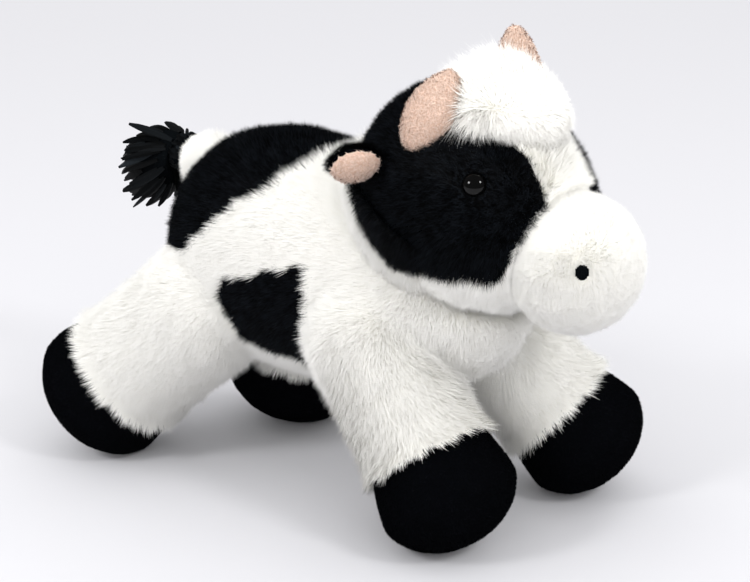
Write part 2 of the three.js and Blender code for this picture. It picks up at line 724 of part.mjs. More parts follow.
const muzzleInside = (grow) => solidForm(muzzleForm, COARSE, grow);
const muzzleInner = muzzleInside(-MUZZLE_WALL);
const headShell = cut(
  headOuter,
  headInside(-PLUSH_WALL),
  muzzleInner,
  earRoom(0),
  postHoles,
  washerRoom,
  eyeBeds,
);
const blazeOutline = [
  ...BLAZE_HALF,
  ...BLAZE_HALF.map(([across, height]) => [-across, height]).reverse(),
].map(([across, height]) => [across, HEAD_CENTRE.z + height]);
const blazePrism = (grow) =>
  prism(blazeOutline, LEFT, UP, HEAD_CENTRE.x + BLAZE_BACK - grow, FAR, grow);
const underChin = (gap) =>
  beyond(HEAD_CENTRE.clone().addScaledVector(UP, gap - CHIN_DROP), UP.clone().negate());
addPiece("chin_panel", headShell.intersect(underChin(0)), "white_plush");
const face = cut(headShell, underChin(SEAM_GAP));
addPiece("blaze_panel", face.intersect(blazePrism(0)), "white_plush");
const patches = cut(face, blazePrism(SEAM_GAP));
for (const [name, side] of Object.entries(sides)) {
  const half = beyond(side(point(0, SEAM_GAP / 2, 0)), side(LEFT));
  addPiece(`face_patch_${name}`, patches.intersect(half), "black_plush");
}
const muzzle = cut(muzzleSolid(0), headSolid(SEAM_GAP), muzzleInner);
addPiece("muzzle_cover", muzzle, "white_plush");
addPiece(
  "head_filling",
  cut(
    headInside(-PLUSH_WALL - FILLING_GAP).add(muzzleInside(-MUZZLE_WALL - FILLING_GAP)),
    earRoom(FILLING_GAP),
    washerRoom,
    postHoles,
  ),
  "filling",
);

for (const [name, side] of Object.entries(sides)) {
  const way = side(headed(NOSTRIL_AZIMUTH, NOSTRIL_ELEVATION));
  const { place, out } = seatOn(muzzle, MUZZLE_CENTRE, way);
  const nostril = bar(place, out, NOSTRIL_RADIUS, SEAM_GAP, SEAM_GAP + NOSTRIL_THICKNESS);
  addPiece(`nostril_${name}`, nostril, "yarn");
}

const box = new THREE.Box3().setFromObject(cow);
const middle = box.getCenter(new THREE.Vector3());
cow.position.set(-middle.x, -middle.y, -box.min.z);

export default cow;
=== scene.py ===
"""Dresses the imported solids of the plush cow: pile, velour, fleece, yarn and glossy eyes."""

import json
import math

import bmesh
import bpy
import numpy as np
from bpy.props import FloatProperty, FloatVectorProperty, PointerProperty
from bpy.types import NodeSocket, Operator, Panel, PropertyGroup
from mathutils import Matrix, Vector
from mathutils.bvhtree import BVHTree

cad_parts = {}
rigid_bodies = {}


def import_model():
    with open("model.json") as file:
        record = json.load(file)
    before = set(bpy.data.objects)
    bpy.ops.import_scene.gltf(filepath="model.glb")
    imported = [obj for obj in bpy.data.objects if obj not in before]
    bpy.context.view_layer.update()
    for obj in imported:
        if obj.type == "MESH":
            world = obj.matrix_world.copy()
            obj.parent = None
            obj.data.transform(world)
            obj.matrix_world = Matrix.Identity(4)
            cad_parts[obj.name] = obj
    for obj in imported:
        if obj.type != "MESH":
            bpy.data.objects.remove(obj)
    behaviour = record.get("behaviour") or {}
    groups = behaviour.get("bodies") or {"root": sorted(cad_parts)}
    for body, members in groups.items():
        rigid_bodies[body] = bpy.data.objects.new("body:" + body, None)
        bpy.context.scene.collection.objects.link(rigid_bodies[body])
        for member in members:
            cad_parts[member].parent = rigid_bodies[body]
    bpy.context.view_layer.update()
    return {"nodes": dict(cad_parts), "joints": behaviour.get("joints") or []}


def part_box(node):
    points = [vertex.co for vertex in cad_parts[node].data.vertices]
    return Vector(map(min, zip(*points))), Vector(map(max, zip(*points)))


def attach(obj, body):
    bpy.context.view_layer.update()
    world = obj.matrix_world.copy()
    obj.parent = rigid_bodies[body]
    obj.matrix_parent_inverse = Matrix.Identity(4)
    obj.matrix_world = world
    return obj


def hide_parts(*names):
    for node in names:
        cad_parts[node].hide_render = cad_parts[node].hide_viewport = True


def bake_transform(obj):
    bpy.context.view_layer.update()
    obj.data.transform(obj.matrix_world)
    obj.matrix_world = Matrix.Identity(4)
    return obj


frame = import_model()

bl_info = {
    "name": "Plush Cow",
    "version": (1, 0, 0),
    "blender": (4, 5, 0),
    "location": "View3D > Sidebar > Plush Cow",
    "description": "Dresses the solids of a plush cow in pile, velour, fleece and yarn",
    "category": "Add Mesh",
}

MM = 0.001
LEGS = ("front_right", "front_left", "rear_right", "rear_left")
SIDES = ("right", "left")
NODES = frame["nodes"]


# Sizes and colours


def length(name, millimetres, description):
    """A setting for a length, given in millimetres and kept in metres."""
    return FloatProperty(
        name=name,
        default=millimetres * MM,
        min=0,
        max=0.1,
        precision=4,
        subtype="DISTANCE",
        unit="LENGTH",
        description=description,
    )


def colour(name, value, description):
    """A setting for a colour."""
    return FloatVectorProperty(
        name=name, default=value, min=0, max=1, size=3, subtype="COLOR", description=description
    )


def brightness(name, value, top, description):
    """A setting for the strength of a light."""
    return FloatProperty(name=name, default=value, min=0, max=top, description=description)


class CowPile(PropertyGroup):
    """Lengths and thicknesses of the pile"""

    white: length("White pile", 8.0, "Length of the long white pile on torso, legs and tail")
    black: length("Black pile", 6.0, "Length of the pile on the black torso patches")
    face: length("Face pile", 5.0, "Length of the pile on the face")
    muzzle: length("Muzzle pile", 3.6, "Length of the short pile on the muzzle")
    velour: length("Velour pile", 0.9, "Length of the pile on the hooves")
    fleece: length("Fleece curls", 1.3, "Length of a curl on the horns and ear linings")
    forelock: length("Forelock", 14, "Length of the long hair between the horns")
    tassel: length("Tassel", 22, "Length of a strand of the tail's tassel")
    fibre: length("Fibre width", 0.33, "Width of a tuft of pile at its root")


class CowColours(PropertyGroup):
    """Colours of the fabrics and trims"""

    white: colour("White plush", (0.965, 0.955, 0.925), "Tips of the white pile")
    # Painted shade: the root colours are darker than the tips and stand for the shade deep in the pile;
    # the white's is warmer, for the cream of white plush in shade
    white_root_shade: colour("White plush, root", (0.93, 0.91, 0.82), "Roots of the white pile")
    black: colour("Black plush", (0.0030, 0.0038, 0.0052), "Tips of the black pile")
    # The black pile's root: painted shade deep in the pile; also the dark end of the random grain of
    # the black, velour and yarn bases
    black_root: colour("Black plush, root", (0.0008, 0.001, 0.0012), "Roots of the black pile")
    velour: colour("Velour", (0.0018, 0.0020, 0.0028), "Velour of the hooves")
    fleece: colour("Fleece", (0.68, 0.525, 0.44), "Fleece of the horns and ear linings")
    # Painted shade between the curls: the curls darken to this colour at their roots, and the fleece
    # base's grain runs down to it
    fleece_deep: colour("Fleece, deep", (0.50, 0.31, 0.22), "Between the curls of the fleece")
    yarn: colour("Yarn", (0.004, 0.005, 0.006), "Yarn of the tassel and the nostrils")
    eye: colour("Eyes", (0.001, 0.001, 0.001), "Glossy plastic of the eyes")
    floor: colour("Floor", (0.58, 0.578, 0.602), "Floor and backdrop")


class CowLight(PropertyGroup):
    """Strengths of the studio's lights"""

    ambient: brightness("Ambient", 1.28, 2, "Strength of the even light")
    key: brightness("Key", 0.12, 10, "Strength of the broad light ahead")
    fill: brightness("Fill", 0.78, 10, "Strength of the broad low light")


# Meshes


def add_object(name, mesh):
    """A new object of the scene."""
    made = bpy.data.objects.new(name, mesh)
    bpy.context.scene.collection.objects.link(made)
    return made


def into_object(mesh, name, smooth=False):
    """A new object from a bmesh, which is freed."""
    if smooth:
        for face in mesh.faces:
            face.smooth = True
    data = bpy.data.meshes.new(name)
    mesh.to_mesh(data)
    mesh.free()
    return add_object(name, data)


def remove(*objects):
    """Takes objects and their meshes out of the file."""
    for gone in objects:
        mesh = gone.data
        bpy.data.objects.remove(gone)
        bpy.data.meshes.remove(mesh)


def flatten(piece):
    """Turns a piece with its modifiers into a plain mesh."""
    graph = bpy.context.evaluated_depsgraph_get()
    made = bpy.data.meshes.new_from_object(
        piece.evaluated_get(graph), preserve_all_data_layers=True, depsgraph=graph
    )
    old = piece.data
    piece.modifiers.clear()
    piece.data = made
    made.name = piece.name
    bpy.data.meshes.remove(old)


def modify(piece, kind, **settings):
    """Applies one modifier."""
    modifier = piece.modifiers.new(kind.title(), kind)
    for key, value in settings.items():
        setattr(modifier, key, value)
    flatten(piece)


def vectors_of(items, key):
    """One vector of each item, as rows."""
    rows = np.empty(len(items) * 3, np.float32)
    items.foreach_get(key, rows)
    return rows.reshape(-1, 3).astype(float)


def places(mesh):
    """The mesh's vertices as rows."""
    return vectors_of(mesh.vertices, "co")


def put(mesh, rows):
    """Moves the mesh's vertices to those rows."""
    mesh.vertices.foreach_set("co", rows.astype(np.float32).ravel())
    mesh.update()


def normals(mesh):
    """The mesh's vertex normals as rows."""
    return vectors_of(mesh.vertex_normals, "vector")


def unit(rows):
    """The rows at length one."""
    return rows / np.maximum(np.linalg.norm(rows, axis=-1, keepdims=True), 1e-9)


def ease(rows, low, high):
    """From 0 at low to 1 at high, smoothly."""
    share = np.clip((rows - low) / (high - low), 0, 1)
    return share * share * (3 - 2 * share)


def merged(nodes):
    """Copies of CAD nodes in one bmesh, their doubles merged."""
    made = bmesh.new()
    for node in nodes:
        made.from_mesh(NODES[node].data)
    bmesh.ops.remove_doubles(made, verts=made.verts, dist=1e-6)
    return made


def surface(nodes):
    """A search tree over CAD nodes."""
    copy = merged(nodes)
    tree = BVHTree.FromBMesh(copy)
    copy.free()
    return tree


def distances(tree, rows):
    """How far each row is from the tree's surface."""
    return np.array([tree.find_nearest(Vector(row))[3] for row in rows])


def outermost(piece):
    """Drops the closed shells inside the largest one."""
    mesh = bmesh.new()
    mesh.from_mesh(piece.data)
    left, shells = set(mesh.verts), []
    while left:
        stack = [left.pop()]
        shell = set(stack)
        while stack:
            for edge in stack.pop().link_edges:
                for vertex in edge.verts:
                    if vertex in left:
                        left.discard(vertex)
                        shell.add(vertex)
                        stack.append(vertex)
        shells.append(shell)
    largest = max(shells, key=len)
    inner = [vertex for shell in shells if shell is not largest for vertex in shell]
    bmesh.ops.delete(mesh, geom=inner, context="VERTS")
    mesh.to_mesh(piece.data)
    mesh.free()


def stuffed(name, nodes, voxel, crevice=0.0, smooth=4):
    """One closed skin round CAD nodes, with the crevices between them filled."""
    piece = into_object(merged(nodes), name)
    modify(piece, "REMESH", mode="VOXEL", voxel_size=voxel)
    outermost(piece)
    for step in (crevice, -crevice):
        if step:
            put(piece.data, places(piece.data) + normals(piece.data) * step)
            modify(piece, "REMESH", mode="VOXEL", voxel_size=voxel)
            outermost(piece)
    modify(piece, "SMOOTH", factor=0.5, iterations=smooth)
    piece.data.polygons.foreach_set("use_smooth", [True] * len(piece.data.polygons))
    return piece


PUFF_FRAMES = 20


def puff(piece, pressure, cap):
    """Blows the skin up as its filling does, and keeps each point within the cap of its place."""
    rest = places(piece.data)
    cloth = piece.modifiers.new("Cloth", "CLOTH")
    settings = cloth.settings
    settings.quality = 4
    settings.use_pressure = True
    settings.uniform_pressure_force = pressure
    settings.effector_weights.gravity = 0
    settings.tension_stiffness = 12
    settings.compression_stiffness = 6
    settings.bending_stiffness = 0.4
    scene = bpy.context.scene
    for step in range(1, PUFF_FRAMES + 1):
        scene.frame_set(step)
    flatten(piece)
    scene.frame_set(1)
    moved = places(piece.data) - rest
    size = np.linalg.norm(moved, axis=1, keepdims=True)
    put(piece.data, rest + moved * np.minimum(1, cap / np.maximum(size, 1e-9)))


def note(mesh, name, rows, kind="FLOAT", domain="POINT"):
    """Writes a named attribute."""
    made = mesh.attributes.new(name, kind, domain)
    key = "vector" if kind == "FLOAT_VECTOR" else "value"
    dtype = np.int32 if kind == "INT" else np.float32
    made.data.foreach_set(key, np.ascontiguousarray(rows, dtype).ravel())


def combed(out, low, high, aside):
    """The way of fur that is brushed back on top, down below, and aside between the two."""
    top = ease(out[:, 2], low, high)[:, None]
    between = 4 * top * (1 - top) * aside
    return top * [-1.2, 0.5, 0] + (1 - top) * [0, 0.5, -1] + between * [0, 1, 0]


def face_means(mesh, rows):
    """The mean over each face's vertices."""
    points = np.empty(len(mesh.loops), np.int32)
    starts = np.empty(len(mesh.polygons), np.int32)
    mesh.loops.foreach_get("vertex_index", points)
    mesh.polygons.foreach_get("loop_start", starts)
    counts = np.diff(np.append(starts, len(points)))
    sums = np.add.reduceat(rows[points], starts, axis=0)
    return sums / counts.reshape((-1,) + (1,) * (rows.ndim - 1))


def laid(flow, out):
    """A way, or one for each row, without what points out of the skin."""
    flow = np.asarray(flow, float)
    return flow - (flow * out).sum(axis=1, keepdims=True) * out


def turned(flow, way, share):
    """The flow turned by a share towards another way."""
    share = share[:, None]
    return flow * (1 - share) + np.array(way) * share


def away_from(nodes, rows):
    """How far each row is from each CAD node, one column for each node."""
    return np.stack([distances(surface([node]), rows) for node in nodes], axis=1)


def darkness(rows, white, black):
    """How much nearer each row is to the black nodes than to the white ones."""
    return away_from(white, rows).min(axis=1) - away_from(black, rows).min(axis=1)


def write_notes(mesh, out, flow, part, dark, trim):
    """Writes what the pile reads: the ways out and along, the part, the colour and the length."""
    note(mesh, "out", out, "FLOAT_VECTOR")
    note(mesh, "comb", flow, "FLOAT_VECTOR")
    note(mesh, "dark", dark)
    note(mesh, "trim", trim)
    note(mesh, "part", part, "INT", "FACE")


def fielded(form, out, flow, part=None, dark=None, trim=None):
    """Writes what the pile reads on a small form, with the flow laid along its skin."""
    part = np.zeros(len(form.data.polygons)) if part is None else part
    dark = np.zeros(len(out)) if dark is None else dark
    trim = np.ones(len(out)) if trim is None else trim
    write_notes(form.data, out, laid(flow, out), part, dark, trim)


def cut_out(source, name, keep):
    """A copy of the source with only the faces to keep."""
    mesh = bmesh.new()
    mesh.from_mesh(source.data)
    bmesh.ops.delete(mesh, geom=[f for f in mesh.faces if not keep[f.index]], context="FACES")
    return into_object(mesh, name)


def corners(node):
    """A CAD node's vertices as rows."""
    copy = merged([node])
    rows = np.array([vertex.co for vertex in copy.verts])
    copy.free()
    return rows


def middle(node):
    """The middle of a CAD node's vertices."""
    return corners(node).mean(axis=0)


def joint_place(name):
    """The place of a joint."""
    return np.array(next(joint for joint in frame["joints"] if joint["name"] == name)["pos_m"])


def frame_middle():
    """The middle plane's place across the cow."""
    return joint_place("head_turn")[1]


def mapped_blade(mesh, name):
    """The object of a blade, smooth, and mapped across it and from its root to its tip."""
    layer = mesh.loops.layers.uv.new("OFBake")
    for face in mesh.faces:
        for loop in face.loops:
            loop[layer].uv = (0.5 + 0.5 * np.sign(loop.vert.co.x), loop.vert.co.z)
    return into_object(mesh, name, smooth=True)


def blade(name, segments, droop, taper=0.75):
    """A drooping, tapering blade one metre long and wide, from its root along Z, its face towards Y."""
    mesh = bmesh.new()
    rows = []
    for row in range(segments):
        share = row / segments
        half = 0.5 * (1 - taper * share * share)
        at = (-droop * share * share, share)
        rows.append([mesh.verts.new((side * half, *at)) for side in (1, -1)])
    tip = mesh.verts.new((0, -droop, 1))
    for low, high in zip(rows, rows[1:]):
        mesh.faces.new((low[0], low[1], high[1], high[0]))
    mesh.faces.new((rows[-1][0], rows[-1][1], tip))
    return mapped_blade(mesh, name)


def circle(sides):
    """The cosine and the sine of each corner of a ring."""
    turns = [math.tau * side / sides for side in range(sides)]
    return [(math.cos(turn), math.sin(turn)) for turn in turns]


def join_rings(mesh, rings):
    """Faces between each ring of vertices and the next."""
    for low, high in zip(rings, rings[1:]):
        for side in range(len(low)):
            after = (side + 1) % len(low)
            mesh.faces.new((low[side], low[after], high[after], high[side]))


def strand(name, sides, steps, droop):
    """A blunt strand of yarn one metre long and wide, from its root along Z."""
    mesh = bmesh.new()
    rings = []
    for step in range(steps + 1):
        share = step / steps
        radius = 0.5 * (0.7 + 0.5 * math.sin(math.pi * min(1, share * 1.1)))
        if step == steps:
            radius *= 0.55
        rings.append([
            mesh.verts.new((radius * x, 0.2 * radius * y - droop * share * share, share))
            for x, y in circle(sides)
        ])
    join_rings(mesh, rings)
    mesh.faces.new(rings[-1])
    return mapped_blade(mesh, name)


# Node trees


def give(tree, socket, value):
    """Links or sets an input, and leaves it alone for None."""
    if isinstance(value, NodeSocket):
        tree.links.new(value, socket)
    elif value is not None:
        socket.default_value = value


def wire(tree, kind, *inputs, named=None, **settings):
    """Adds a node, with its inputs in order or by name, as sockets or values."""
    node = tree.nodes.new(kind)
    for key, value in settings.items():
        setattr(node, key, value)
    for socket, value in zip(node.inputs, inputs):
        give(tree, socket, value)
    for name, value in (named or {}).items():
        give(tree, node.inputs[name], value)
    return node


def maths(tree, operation, *inputs):
    """A Math node's result."""
    return wire(tree, "ShaderNodeMath", *inputs, operation=operation).outputs[0]


def vectors(tree, operation, *inputs):
    """A Vector Math node's result."""
    return wire(tree, "ShaderNodeVectorMath", *inputs, operation=operation).outputs[0]


def scaled(tree, vector, factor):
    """A vector times a number."""
    named = {"Vector": vector, "Scale": factor}
    return wire(tree, "ShaderNodeVectorMath", named=named, operation="SCALE").outputs[0]


def noise(tree, place, scale, detail):
    """A noise texture's results, the number and the colour."""
    named = {"Vector": place, "Scale": scale, "Detail": detail}
    return wire(tree, "ShaderNodeTexNoise", named=named).outputs


def attribute(tree, name, kind="FLOAT"):
    """A named attribute's field."""
    node = wire(tree, "GeometryNodeInputNamedAttribute", named={"Name": name}, data_type=kind)
    return node.outputs["Attribute"]


def store(tree, geometry, name, value, kind, domain):
    """Writes a named attribute on a geometry."""
    named = {"Geometry": geometry, "Name": name, "Value": value}
    return wire(
        tree, "GeometryNodeStoreNamedAttribute", named=named, data_type=kind, domain=domain
    ).outputs[0]


def chance(tree, low, high, seed, vector=False):
    """A random number or vector for each element."""
    node = wire(tree, "FunctionNodeRandomValue", data_type="FLOAT_VECTOR" if vector else "FLOAT")
    first = 0 if vector else 2
    give(tree, node.inputs[first], low)
    give(tree, node.inputs[first + 1], high)
    give(tree, node.inputs["Seed"], maths(tree, "ADD", seed, float(hash_of(low, high))))
    return node.outputs[0 if vector else 1]


def hash_of(*values):
    """A small fixed number, so that random fields with other bounds differ."""
    return sum(int(abs(np.sum(value)) * 97) for value in values) % 89


def cloud(tree, scale, detail=1.0, offset=0.0):
    """A noise of the element's place, as a number and as a vector about zero."""
    place = wire(tree, "GeometryNodeInputPosition").outputs[0]
    shifted = vectors(tree, "ADD", place, (offset, offset, offset))
    share, way = noise(tree, shifted, scale, detail)
    return share, vectors(tree, "SUBTRACT", way, (0.5, 0.5, 0.5))


TONES = 8.0
TONE_SPREAD = 0.3
EDGE_SCALE = 150.0
# Scale of the noise that paints glints on the black pile
GLINT_SCALE = 800.0
TUFT_PULL = 3.0
TUFT_LENGTH = (0.7, 0.65)
SPIN = 0.6
WIDTHS = (0.7, 1.3)
PILE_INPUTS = {
    "Part": ("NodeSocketInt", 0),
    "Side": ("NodeSocketFloat", 0.0),
    "Density": ("NodeSocketFloat", 2e6),
    "Length": ("NodeSocketFloat", 0.008),
    "Width": ("NodeSocketFloat", 0.0004),
    "Lean": ("NodeSocketFloat", 0.9),
    "Wander": ("NodeSocketFloat", 0.3),
    "Tufts": ("NodeSocketFloat", 0.5),
    "Tuft Scale": ("NodeSocketFloat", 110.0),
    "Variation": ("NodeSocketFloat", 0.25),
    "Ragged": ("NodeSocketFloat", 0.004),
    "Gloss Way": ("NodeSocketFloat", 0.25),
    "Flecks": ("NodeSocketFloat", 0.0),
    "Seed": ("NodeSocketInt", 1),
    "Blade": ("NodeSocketObject", None),
    "Fabric": ("NodeSocketMaterial", None),
}


def pile_tree():
    """Plants blades on one part of a skin, combed along its comb attribute."""
    tree = bpy.data.node_groups.new("Pile", "GeometryNodeTree")
    tree.interface.new_socket("Geometry", in_out="INPUT", socket_type="NodeSocketGeometry")
    for name, (kind, value) in PILE_INPUTS.items():
        socket = tree.interface.new_socket(name, in_out="INPUT", socket_type=kind)
        if value is not None:
            socket.default_value = value
    tree.interface.new_socket("Geometry", in_out="OUTPUT", socket_type="NodeSocketGeometry")
    given = tree.nodes.new("NodeGroupInput").outputs
    seed = given["Seed"]

    same = wire(tree, "FunctionNodeCompare", data_type="INT", operation="EQUAL")
    give(tree, same.inputs[2], attribute(tree, "part", "INT"))
    give(tree, same.inputs[3], given["Part"])
    planted = wire(
        tree, "GeometryNodeDistributePointsOnFaces", distribute_method="RANDOM",
        named={
            "Mesh": given["Geometry"], "Selection": same.outputs[0],
            "Density": given["Density"], "Seed": seed,
        },
    )

    ragged, _ = cloud(tree, EDGE_SCALE, 3.0)
    edge = maths(tree, "MULTIPLY", maths(tree, "SUBTRACT", ragged, 0.5), given["Ragged"])
    depth = maths(tree, "MULTIPLY", maths(tree, "ADD", attribute(tree, "dark"), edge), given["Side"])
    chosen = maths(tree, "GREATER_THAN", depth, -1e-9)

    tuft_share, tuft_way = cloud(tree, given["Tuft Scale"], 2.0, 3.1)
    way = attribute(tree, "out", "FLOAT_VECTOR")
    comb = attribute(tree, "comb", "FLOAT_VECTOR")
    way = vectors(tree, "ADD", way, scaled(tree, comb, given["Lean"]))
    pull = maths(tree, "MULTIPLY", given["Tufts"], TUFT_PULL)
    way = vectors(tree, "ADD", way, scaled(tree, tuft_way, pull))
    stray = chance(tree, (-1, -1, -1), (1, 1, 1), seed, vector=True)
    way = vectors(tree, "NORMALIZE", vectors(tree, "ADD", way, scaled(tree, stray, given["Wander"])))
    turn = wire(tree, "FunctionNodeAlignRotationToVector", None, 1.0, way, axis="Z").outputs[0]
    out = attribute(tree, "out", "FLOAT_VECTOR")
    turn = wire(
        tree, "FunctionNodeAlignRotationToVector", turn, 1.0, out, axis="Y", pivot_axis="Z"
    ).outputs[0]
    spin = wire(tree, "FunctionNodeAxisAngleToRotation", (0, 0, 1), chance(tree, -SPIN, SPIN, seed))
    turn = wire(
        tree, "FunctionNodeRotateRotation", turn, spin.outputs[0], rotation_space="LOCAL"
    ).outputs[0]

    uneven = maths(tree, "MULTIPLY", chance(tree, -1, 1, seed), given["Variation"])
    uneven = maths(tree, "ADD", uneven, maths(tree, "MULTIPLY_ADD", tuft_share, *TUFT_LENGTH))
    long = maths(tree, "MULTIPLY", given["Length"], uneven)
    long = maths(tree, "MULTIPLY", long, attribute(tree, "trim"))
    wide = maths(tree, "MULTIPLY", given["Width"], chance(tree, *WIDTHS, seed))
    size = wire(tree, "ShaderNodeCombineXYZ", wide, long, long).outputs[0]

    blades = wire(tree, "GeometryNodeObjectInfo", given["Blade"]).outputs["Geometry"]
    grown = wire(tree, "GeometryNodeInstanceOnPoints", named={
        "Points": planted.outputs["Points"], "Selection": chosen, "Instance": blades,
        "Rotation": turn, "Scale": size,
    })
    # Painted highlights: a fine noise lifts some blades' tone, as if their fibres caught the light
    glint, _ = cloud(tree, GLINT_SCALE, 1.0, 5.7)
    glint = maths(tree, "MULTIPLY", maths(tree, "SUBTRACT", glint, 0.5), given["Flecks"])
    own = chance(tree, -TONE_SPREAD, TONE_SPREAD, seed)
    tone = maths(tree, "ADD", own, maths(tree, "ADD", tuft_share, glint))
    toned = store(tree, grown.outputs[0], "tone", tone, "FLOAT", "INSTANCE")
    shade = vectors(tree, "NORMALIZE", vectors(tree, "ADD", out, scaled(tree, way, given["Gloss Way"])))
    toned = store(tree, toned, "shade", shade, "FLOAT_VECTOR", "INSTANCE")
    real = wire(tree, "GeometryNodeRealizeInstances", toned)

    across = wire(tree, "ShaderNodeSeparateXYZ", attribute(tree, "OFBake", "FLOAT_VECTOR")).outputs
    strip = maths(tree, "FLOOR", maths(tree, "MULTIPLY", attribute(tree, "tone"), TONES))
    strip = maths(tree, "MINIMUM", maths(tree, "MAXIMUM", strip, 0.0), TONES - 1)
    inset = maths(tree, "MULTIPLY_ADD", across[0], 0.8, 0.1)
    strip = maths(tree, "DIVIDE", maths(tree, "ADD", strip, inset), TONES)
    along = wire(tree, "ShaderNodeCombineXYZ", strip, across[1], 0.0).outputs[0]
    mapped = store(tree, real.outputs[0], "OFBake", along, "FLOAT2", "CORNER")
    lit = wire(tree, "GeometryNodeSetMeshNormal", mode="FREE", domain="POINT")
    give(tree, lit.inputs["Mesh"], mapped)
    give(tree, lit.inputs["Custom Normal"], attribute(tree, "shade", "FLOAT_VECTOR"))
    named = {"Geometry": lit.outputs[0], "Material": given["Fabric"]}
    dressed = wire(tree, "GeometryNodeSetMaterial", named=named)
    wire(tree, "NodeGroupOutput", dressed.outputs[0])
    return tree


def grow(name, skin, slot, body=None, kind=None, **settings):
    """A pile on one part of a skin, as a plain mesh in its slot's pile fabric and, if one is given, on
    its body.
    """
    _, cloth, usual = COATS[slot]
    settings.update(blade=tool(kind or usual), fabric=fabric(cloth))
    tree = bpy.data.node_groups.get("Pile") or pile_tree()
    piece = add_object(name, skin.data.copy())
    modifier = piece.modifiers.new("Pile", "NODES")
    modifier.node_group = tree
    sockets = {s.name: s.identifier for s in tree.interface.items_tree if s.in_out == "INPUT"}
    for key, value in settings.items():
        modifier[sockets[key.replace("_", " ").title()]] = value
    flatten(piece)
    for unused in ("tone", "shade", "out", "comb", "dark", "trim", "part"):
        found = piece.data.attributes.get(unused)
        if found:
            piece.data.attributes.remove(found)
    if body:
        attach(piece, body)
    return piece


def blended(tree, share, first, second):
    """A colour between two."""
    node = wire(tree, "ShaderNodeMix", data_type="RGBA")
    for index, value in ((0, share), (6, (*first, 1)), (7, (*second, 1))):
        give(tree, node.inputs[index], value)
    return node.outputs[2]


def new_fabric(name, looks):
    """A new material's tree and shader, with its plain looks set."""
    material = bpy.data.materials.new(name)
    material.use_nodes = True
    shader = material.node_tree.nodes["Principled BSDF"]
    for key, value in looks.items():
        shader.inputs[key].default_value = value
    return material.node_tree, shader


def pile_fabric(name, root, tip, uneven, roughness, sheen, specular=0.1):
    """Pile painted darker at its root than at its tip, as the shade deep in the pile, and a little
    different from tuft to tuft.
    """
    tree, shader = new_fabric(name, {
        "Roughness": roughness, "Sheen Weight": sheen, "Sheen Roughness": 0.5,
        "Specular IOR Level": specular,
    })
    place = wire(tree, "ShaderNodeUVMap", uv_map="OFBake").outputs[0]
    across = wire(tree, "ShaderNodeSeparateXYZ", place).outputs
    # Painted shade: the colour darkens from the tip down to the root
    along = blended(tree, maths(tree, "POWER", across[1], 0.6), root, tip)
    # Each blade's tone scales its colour: random tone, plus the painted glints of the black pile
    tufts = maths(tree, "MULTIPLY_ADD", maths(tree, "POWER", across[0], 3.0), 4 * uneven, 1 - uneven)
    give(tree, shader.inputs["Base Color"], scaled(tree, along, tufts))


def base_fabric(name, value, deep, scale, relief, roughness=0.9, sheen=0.0):
    """The knitted base under a pile, or a short nap: a fine grain in colour and relief."""
    tree, shader = new_fabric(name, {
        "Sheen Weight": sheen, "Sheen Roughness": 0.4, "Specular IOR Level": 0.0,
    })
    place = wire(tree, "ShaderNodeTexCoord").outputs["Object"]
    grain = noise(tree, place, scale, 3)[0]
    give(tree, shader.inputs["Base Color"], blended(tree, grain, deep, value))
    rough = maths(tree, "MULTIPLY_ADD", grain, 0.1, roughness - 0.05)
    give(tree, shader.inputs["Roughness"], rough)
    named = {"Strength": 1, "Distance": relief, "Height": grain}
    bump = wire(tree, "ShaderNodeBump", named=named)
    give(tree, shader.inputs["Normal"], bump.outputs[0])


def make_fabrics():
    """Makes the materials from the colours."""
    c = bpy.context.scene.cow_colours
    new_fabric("floor_paper", {
        "Base Color": (*c.floor, 1), "Roughness": 0.9, "Specular IOR Level": 0.1,
    })
    pile_fabric("white_pile", c.white_root_shade, c.white, uneven=0.015, roughness=0.9, sheen=0.05)
    # Painted highlights: the black pile's wide spread of tone from blade to blade carries its glints of
    # fibres catching the light
    pile_fabric(
        "black_pile", c.black_root, c.black, uneven=0.9, roughness=0.5, sheen=0.0, specular=0.04
    )
    pile_fabric(
        "velour_nap", c.velour, c.velour, uneven=0.3, roughness=0.8, sheen=0.0, specular=0.02
    )
    # Fleece curls painted darker at the root, as shade between the curls
    pile_fabric("fleece_curl", c.fleece_deep, c.fleece, uneven=0.10, roughness=0.9, sheen=0.2)
    # Partly painted shade: the wide tone spread from strand to strand stands in for the shading that
    # sets the strands apart
    pile_fabric("tassel_yarn", c.yarn, c.yarn, uneven=0.8, roughness=0.5, sheen=0.0, specular=0.06)
    # The white base's random grain runs between the tip colour and the painted root shade
    base_fabric("white_base", c.white, c.white_root_shade, scale=900, relief=0.4 * MM)
    base_fabric("black_base", c.black, c.black_root, scale=900, relief=0.4 * MM)
    base_fabric("velour_base", c.velour, c.black_root, scale=1400, relief=0.1 * MM)
    base_fabric("fleece_base", c.fleece, c.fleece_deep, scale=500, relief=0.8 * MM, sheen=0.2)
    base_fabric("yarn_base", c.yarn, c.black_root, scale=1500, relief=0.3 * MM)
    base_fabric(
        "washer_plastic", (0.8, 0.8, 0.78), (0.74, 0.74, 0.72), scale=300, relief=0.1 * MM,
        roughness=0.4,
    )
    tree, shader = new_fabric("eye_gloss", {
        "Base Color": (*c.eye, 1), "Specular IOR Level": 0.22,
    })
    place = wire(tree, "ShaderNodeTexCoord").outputs["Object"]
    scuff = maths(tree, "MULTIPLY_ADD", noise(tree, place, 700, 2)[0], 0.05, 0.03)
    give(tree, shader.inputs["Roughness"], scuff)


def fabric(name):
    """One of the materials, all made when the first is asked for."""
    if name not in bpy.data.materials:
        make_fabrics()
    return bpy.data.materials[name]


